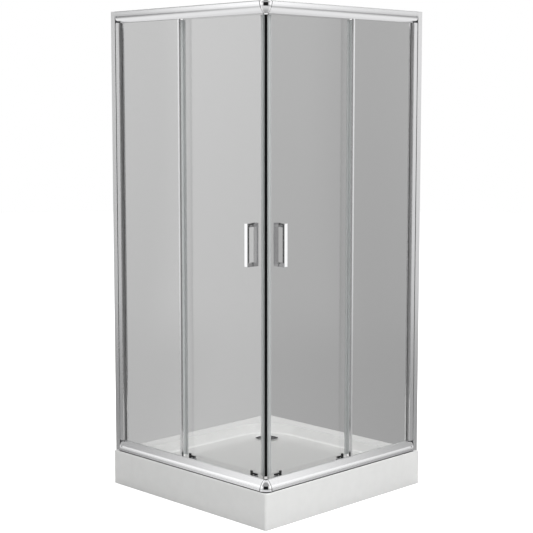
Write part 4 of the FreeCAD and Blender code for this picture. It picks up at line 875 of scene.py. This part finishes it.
# The upright profiles: U sections screwed to the walls, with glass-holding sections that slide in
# them, extruded and bright anodised like the rails. Grey nylon connectors join the rails to them,
# and a slim bright strip covers each fixed pane's free edge.
grey_nylon = moulded("grey_nylon", "55565A", roughness=0.5, grain_mm=0.9, ior=1.53)
for side in SIDE_ALUMINIUM:
    finish_node(f"wall_profile_{side}", aluminium_upright)
    finish_node(f"side_profile_{side}", aluminium_upright)
finish_node("fixed_edge_profiles", aluminium_upright)
finish_node("rail_end_blocks", grey_nylon)
grey_epdm = moulded("grey_epdm", "8A8A8A", roughness=0.5, grain_mm=0.8, ior=1.52)
finish_node("fixed_gaskets", grey_epdm)


# The screws of the frame: small pan heads of zinc-plated steel with a cross recess. One at each rail
# end shows from outside, and three down each upright profile from inside.
SCREW_HEAD_RADIUS = 0.0036
SCREW_HEAD_HEIGHT = 0.002
SCREW_SHANK_RADIUS = 0.002
SCREW_LENGTH = 0.0085
RECESS_WIDTH = 0.0009
RECESS_DEPTH = 0.0012
RECESS_REACH = 1.15  # each slot of the cross, in head radii
CROWN_ROUNDNESS = 1.75  # the crown's radius, in head radii
HEAD_FROM = 0.0025  # corners further than this from the axis belong to the head


def screw_tree():
    """Screws at points, each with its head's crown on the point and facing along 'towards'."""
    tree, given = geometry_tree("pan_head_screw", ["Head radius", "Head height", "Shank radius", "Length"])
    head = {"Vertices": 48, "Radius": given["Head radius"], "Depth": given["Head height"]}
    head = add(tree, "GeometryNodeMeshCylinder", head).outputs["Mesh"]
    sink = {0: given["Head height"], 1: -0.5}
    sink = add(tree, "ShaderNodeMath", sink, operation="MULTIPLY").outputs[0]
    sink = add(tree, "ShaderNodeCombineXYZ", {"Z": sink}).outputs[0]
    head = add(tree, "GeometryNodeTransform", {"Geometry": head, "Translation": sink}).outputs[0]
    crown_radius = {0: given["Head radius"], 1: CROWN_ROUNDNESS}
    crown_radius = add(tree, "ShaderNodeMath", crown_radius, operation="MULTIPLY").outputs[0]
    crown = {"Segments": 64, "Rings": 48, "Radius": crown_radius}
    crown = add(tree, "GeometryNodeMeshUVSphere", crown).outputs["Mesh"]
    below = add(tree, "ShaderNodeMath", {0: crown_radius, 1: -1.0}, operation="MULTIPLY").outputs[0]
    below = add(tree, "ShaderNodeCombineXYZ", {"Z": below}).outputs[0]
    crown = add(tree, "GeometryNodeTransform", {"Geometry": crown, "Translation": below}).outputs[0]
    head = add(tree, "GeometryNodeMeshBoolean", {"Mesh 2": [head, crown]}, operation="INTERSECT")
    head = head.outputs["Mesh"]
    reach = {0: given["Head radius"], 1: RECESS_REACH}
    reach = add(tree, "ShaderNodeMath", reach, operation="MULTIPLY").outputs[0]
    slots = []
    for size in ((reach, RECESS_WIDTH), (RECESS_WIDTH, reach)):
        size = {"X": size[0], "Y": size[1], "Z": 2 * RECESS_DEPTH}
        size = add(tree, "ShaderNodeCombineXYZ", size).outputs[0]
        slots.append(add(tree, "GeometryNodeMeshCube", {"Size": size}).outputs["Mesh"])
    head = {"Mesh 1": head, "Mesh 2": slots}
    head = add(tree, "GeometryNodeMeshBoolean", head, operation="DIFFERENCE").outputs["Mesh"]
    shank = {"Vertices": 24, "Radius": given["Shank radius"], "Depth": given["Length"]}
    shank = add(tree, "GeometryNodeMeshCylinder", shank).outputs["Mesh"]
    half = add(tree, "ShaderNodeMath", {0: given["Length"], 1: 0.5}, operation="MULTIPLY").outputs[0]
    down = add(tree, "ShaderNodeMath", {0: given["Head height"], 1: half}, operation="ADD").outputs[0]
    down = add(tree, "ShaderNodeMath", {0: down, 1: -1.0}, operation="MULTIPLY").outputs[0]
    down = add(tree, "ShaderNodeCombineXYZ", {"Z": down}).outputs[0]
    shank = add(tree, "GeometryNodeTransform", {"Geometry": shank, "Translation": down}).outputs[0]
    whole = add(tree, "GeometryNodeJoinGeometry", {"Geometry": [head, shank]})
    facing_way = add(tree, "GeometryNodeInputNamedAttribute", {"Name": "towards"}, data_type="FLOAT_VECTOR")
    turn = {"Vector": facing_way.outputs["Attribute"]}
    turn = add(tree, "FunctionNodeAlignRotationToVector", turn, axis="Z")
    screws = {"Points": given["Base"], "Instance": whole.outputs[0], "Rotation": turn.outputs[0]}
    screws = add(tree, "GeometryNodeInstanceOnPoints", screws)
    end_tree(tree, given, screws.outputs[0])
    return tree


def screw_crowns(name):
    """Where the screws of a node have the middle of their crowns, and which way they face."""
    crowns, directions = [], []
    for solid in solids_of(name):
        middle = middle_of(solid)
        spread = [max(p[i] for p in solid) - min(p[i] for p in solid) for i in range(3)]
        run = spread.index(max(spread))
        off_axis = [(p - middle).length_squared - (p - middle)[run] ** 2 for p in solid]
        rim = [p for p, off in zip(solid, off_axis) if off > HEAD_FROM**2]
        sign = 1 if sum(p[run] - middle[run] for p in rim) > 0 else -1
        direction = Vector([sign if i == run else 0 for i in range(3)])
        crowns.append(middle + direction * spread[run] / 2)
        directions.append(direction)
    return crowns, directions


crowns, directions = screw_crowns("frame_screws")
screws = grown(
    "frame_pan_heads",
    screw_tree(),
    crowns,
    [],
    {
        "Head radius": SCREW_HEAD_RADIUS, "Head height": SCREW_HEAD_HEIGHT,
        "Shank radius": SCREW_SHANK_RADIUS,
        "Length": SCREW_LENGTH - SCREW_HEAD_HEIGHT, "Material": zinc,
    },
    directions,
)
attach(screws, "frame")
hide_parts("frame_screws")


# The glass: 5 mm toughened panes, clear and colourless face on, with edges ground smooth before they
# were toughened, which show a dull grey green.
GLASS_TINT = "E1E1E1"
GROUND_EDGE = "A4AFAB"
GLASS_SHADOW = "E4E6E5"
ROLLER_WAVE_MM = 260


def toughened_glass(across):
    """Glass for panes whose faces look along that axis: sharp and clear there, dull at the edges."""
    made, tree = new_material("toughened_glass_facing_" + across.lower())
    ray = add(tree, "ShaderNodeLightPath").outputs
    where = add(tree, "ShaderNodeTexCoord").outputs["Object"]
    normal = add(tree, "ShaderNodeNewGeometry").outputs["Normal"]
    share = add(tree, "ShaderNodeSeparateXYZ", {0: normal}).outputs[across]
    share = add(tree, "ShaderNodeMath", {0: share}, operation="ABSOLUTE").outputs[0]
    on_edge = {"Value": share, "From Min": 0.8, "From Max": 0.6}
    on_edge = add(tree, "ShaderNodeMapRange", on_edge).outputs["Result"]
    wave = {"Vector": where, "Scale": scale_for(ROLLER_WAVE_MM), "Detail": 0.0}
    wave = add(tree, "ShaderNodeTexNoise", wave)
    wave = add(tree, "ShaderNodeBump", {"Height": wave.outputs[0], "Strength": 0.02, "Distance": 0.0005})
    rough = add(tree, "ShaderNodeMapRange", {"Value": on_edge, "To Min": 0.0, "To Max": 0.35})
    rough = rough.outputs["Result"]
    colour = {0: on_edge, 6: GLASS_TINT, 7: GROUND_EDGE}
    colour = add(tree, "ShaderNodeMix", colour, data_type="RGBA").outputs[2]
    pane = {
        "Base Color": colour, "Roughness": rough, "IOR": 1.52, "Transmission Weight": 1.0,
        "Normal": wave.outputs[0],
    }
    pane = add(tree, "ShaderNodeBsdfPrincipled", pane)
    light = add(tree, "ShaderNodeBsdfTransparent", {"Color": GLASS_SHADOW})
    surface = {0: ray["Is Shadow Ray"], 1: pane.outputs[0], 2: light.outputs[0]}
    surface = add(tree, "ShaderNodeMixShader", surface)
    add(tree, "ShaderNodeOutputMaterial", {"Surface": surface.outputs[0]})
    return made


for side, across in (("left", "Y"), ("right", "X")):
    glass = toughened_glass(across)
    finish_node(f"fixed_glass_{side}", glass)
    finish_node(f"door_glass_{side}", glass)


# The door seals: soft clear PVC, extruded and pushed onto the panes' edges. The front ones hold
# strips of black magnetic rubber that pull the two doors together on the diagonal.
PVC_CLEAR = "E2E5E5"
PVC_COVER = 0.36  # the share of each face that isn't seen through
PVC_LINE_MM = 0.6  # coarser than real ones, which wouldn't show
MAGNET_PULL = 0.00014  # how far the strips' soft faces stretch to meet
ACROSS_DIAGONAL = Vector((1, 1, 0)).normalized()


def clear_soft_pvc():
    """Soft PVC: faintly milky, so that what is behind it shows, with lines along its length."""
    made, tree = new_material("clear_soft_pvc")
    where = add(tree, "ShaderNodeTexCoord").outputs["Object"]
    stretch = [scale_for(PVC_LINE_MM), scale_for(PVC_LINE_MM), scale_for(DIE_RUN_MM)]
    along = add(tree, "ShaderNodeMapping", {"Vector": where, "Scale": stretch}).outputs[0]
    lines = add(tree, "ShaderNodeTexNoise", {"Vector": along, "Scale": 1.0, "Detail": 2})
    rough = add(tree, "ShaderNodeMapRange", {"Value": lines.outputs[0], "To Min": 0.15, "To Max": 0.3})
    body = {
        "Base Color": PVC_CLEAR, "Roughness": rough.outputs["Result"], "IOR": 1.53,
        "Alpha": PVC_COVER,
    }
    return end_material(made, tree, body)


clear_pvc = clear_soft_pvc()
magnetic_rubber = moulded("magnetic_rubber", "040404", roughness=0.75, grain_mm=0.7, ior=1.3)
for side in SIDE_ALUMINIUM:
    finish_node(f"magnet_profile_{side}", clear_pvc)
    finish_node(f"rear_seal_{side}", clear_pvc)
    name = f"magnet_strip_{side}"
    shape = bmesh.new()
    shape.from_mesh(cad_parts[name].data)
    bmesh.ops.remove_doubles(shape, verts=shape.verts, dist=SAME_PLACE)
    for vertex in shape.verts:
        off_diagonal = (vertex.co.x + vertex.co.y) / math.sqrt(2)
        if abs(off_diagonal) < MAGNET_PULL * 2:
            vertex.co -= ACROSS_DIAGONAL * math.copysign(MAGNET_PULL, off_diagonal)
    mesh = bpy.data.meshes.new(name)
    shape.to_mesh(mesh)
    shape.free()
    mesh.materials.append(magnetic_rubber)
    pulled = placed(f"pulled_magnet_{side}", mesh)
    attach(pulled, f"{side}_door")
    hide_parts(name)


# The doors' handles and bolts: bows of zinc die casting and turned brass cap nuts, all polished and
# chrome plated. Each outer bow is bolted through the glass to its inner one.
for side in SIDE_ALUMINIUM:
    finish_node(f"handle_outer_{side}", chrome)
    finish_node(f"handle_inner_{side}", chrome)
    finish_node(f"door_bolts_{side}", chrome)


# The running gear: grooved wheels turned from white acetal, on zinc-plated hangers at the top, and at
# the bottom on sliders in black glass-filled nylon housings. A coil spring of hard wire pushes each
# slider up.
white_acetal = moulded("white_acetal", "D8D8D3", roughness=0.3, grain_mm=0.6, ior=1.48)
black_nylon = moulded("black_nylon", "101010", roughness=0.45, grain_mm=0.7, ior=1.53)
spring_wire = zinc_plated_steel()
spring_wire.name = "hard_spring_wire"
for side in SIDE_ALUMINIUM:
    finish_node(f"top_carriers_{side}", zinc)
    finish_node(f"bottom_housings_{side}", black_nylon)
    for place in ("front", "rear"):
        finish_node(f"top_wheel_{place}_{side}", white_acetal)
        finish_node(f"bottom_wheel_{place}_{side}", white_acetal)
        finish_node(f"release_slider_{place}_{side}", black_nylon)
        spring = f"release_spring_{place}_{side}"
        finish_node(spring, spring_wire)
        coil = placed(f"coil_spring_{place}_{side}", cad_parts[spring].data.copy())
        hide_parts(spring)
        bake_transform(coil)


# The door stops: blocks of black rubber pushed into the top rails, which the rear and front hangers
# meet at the ends of the doors' way.
finish_node("door_stops", black_rubber)
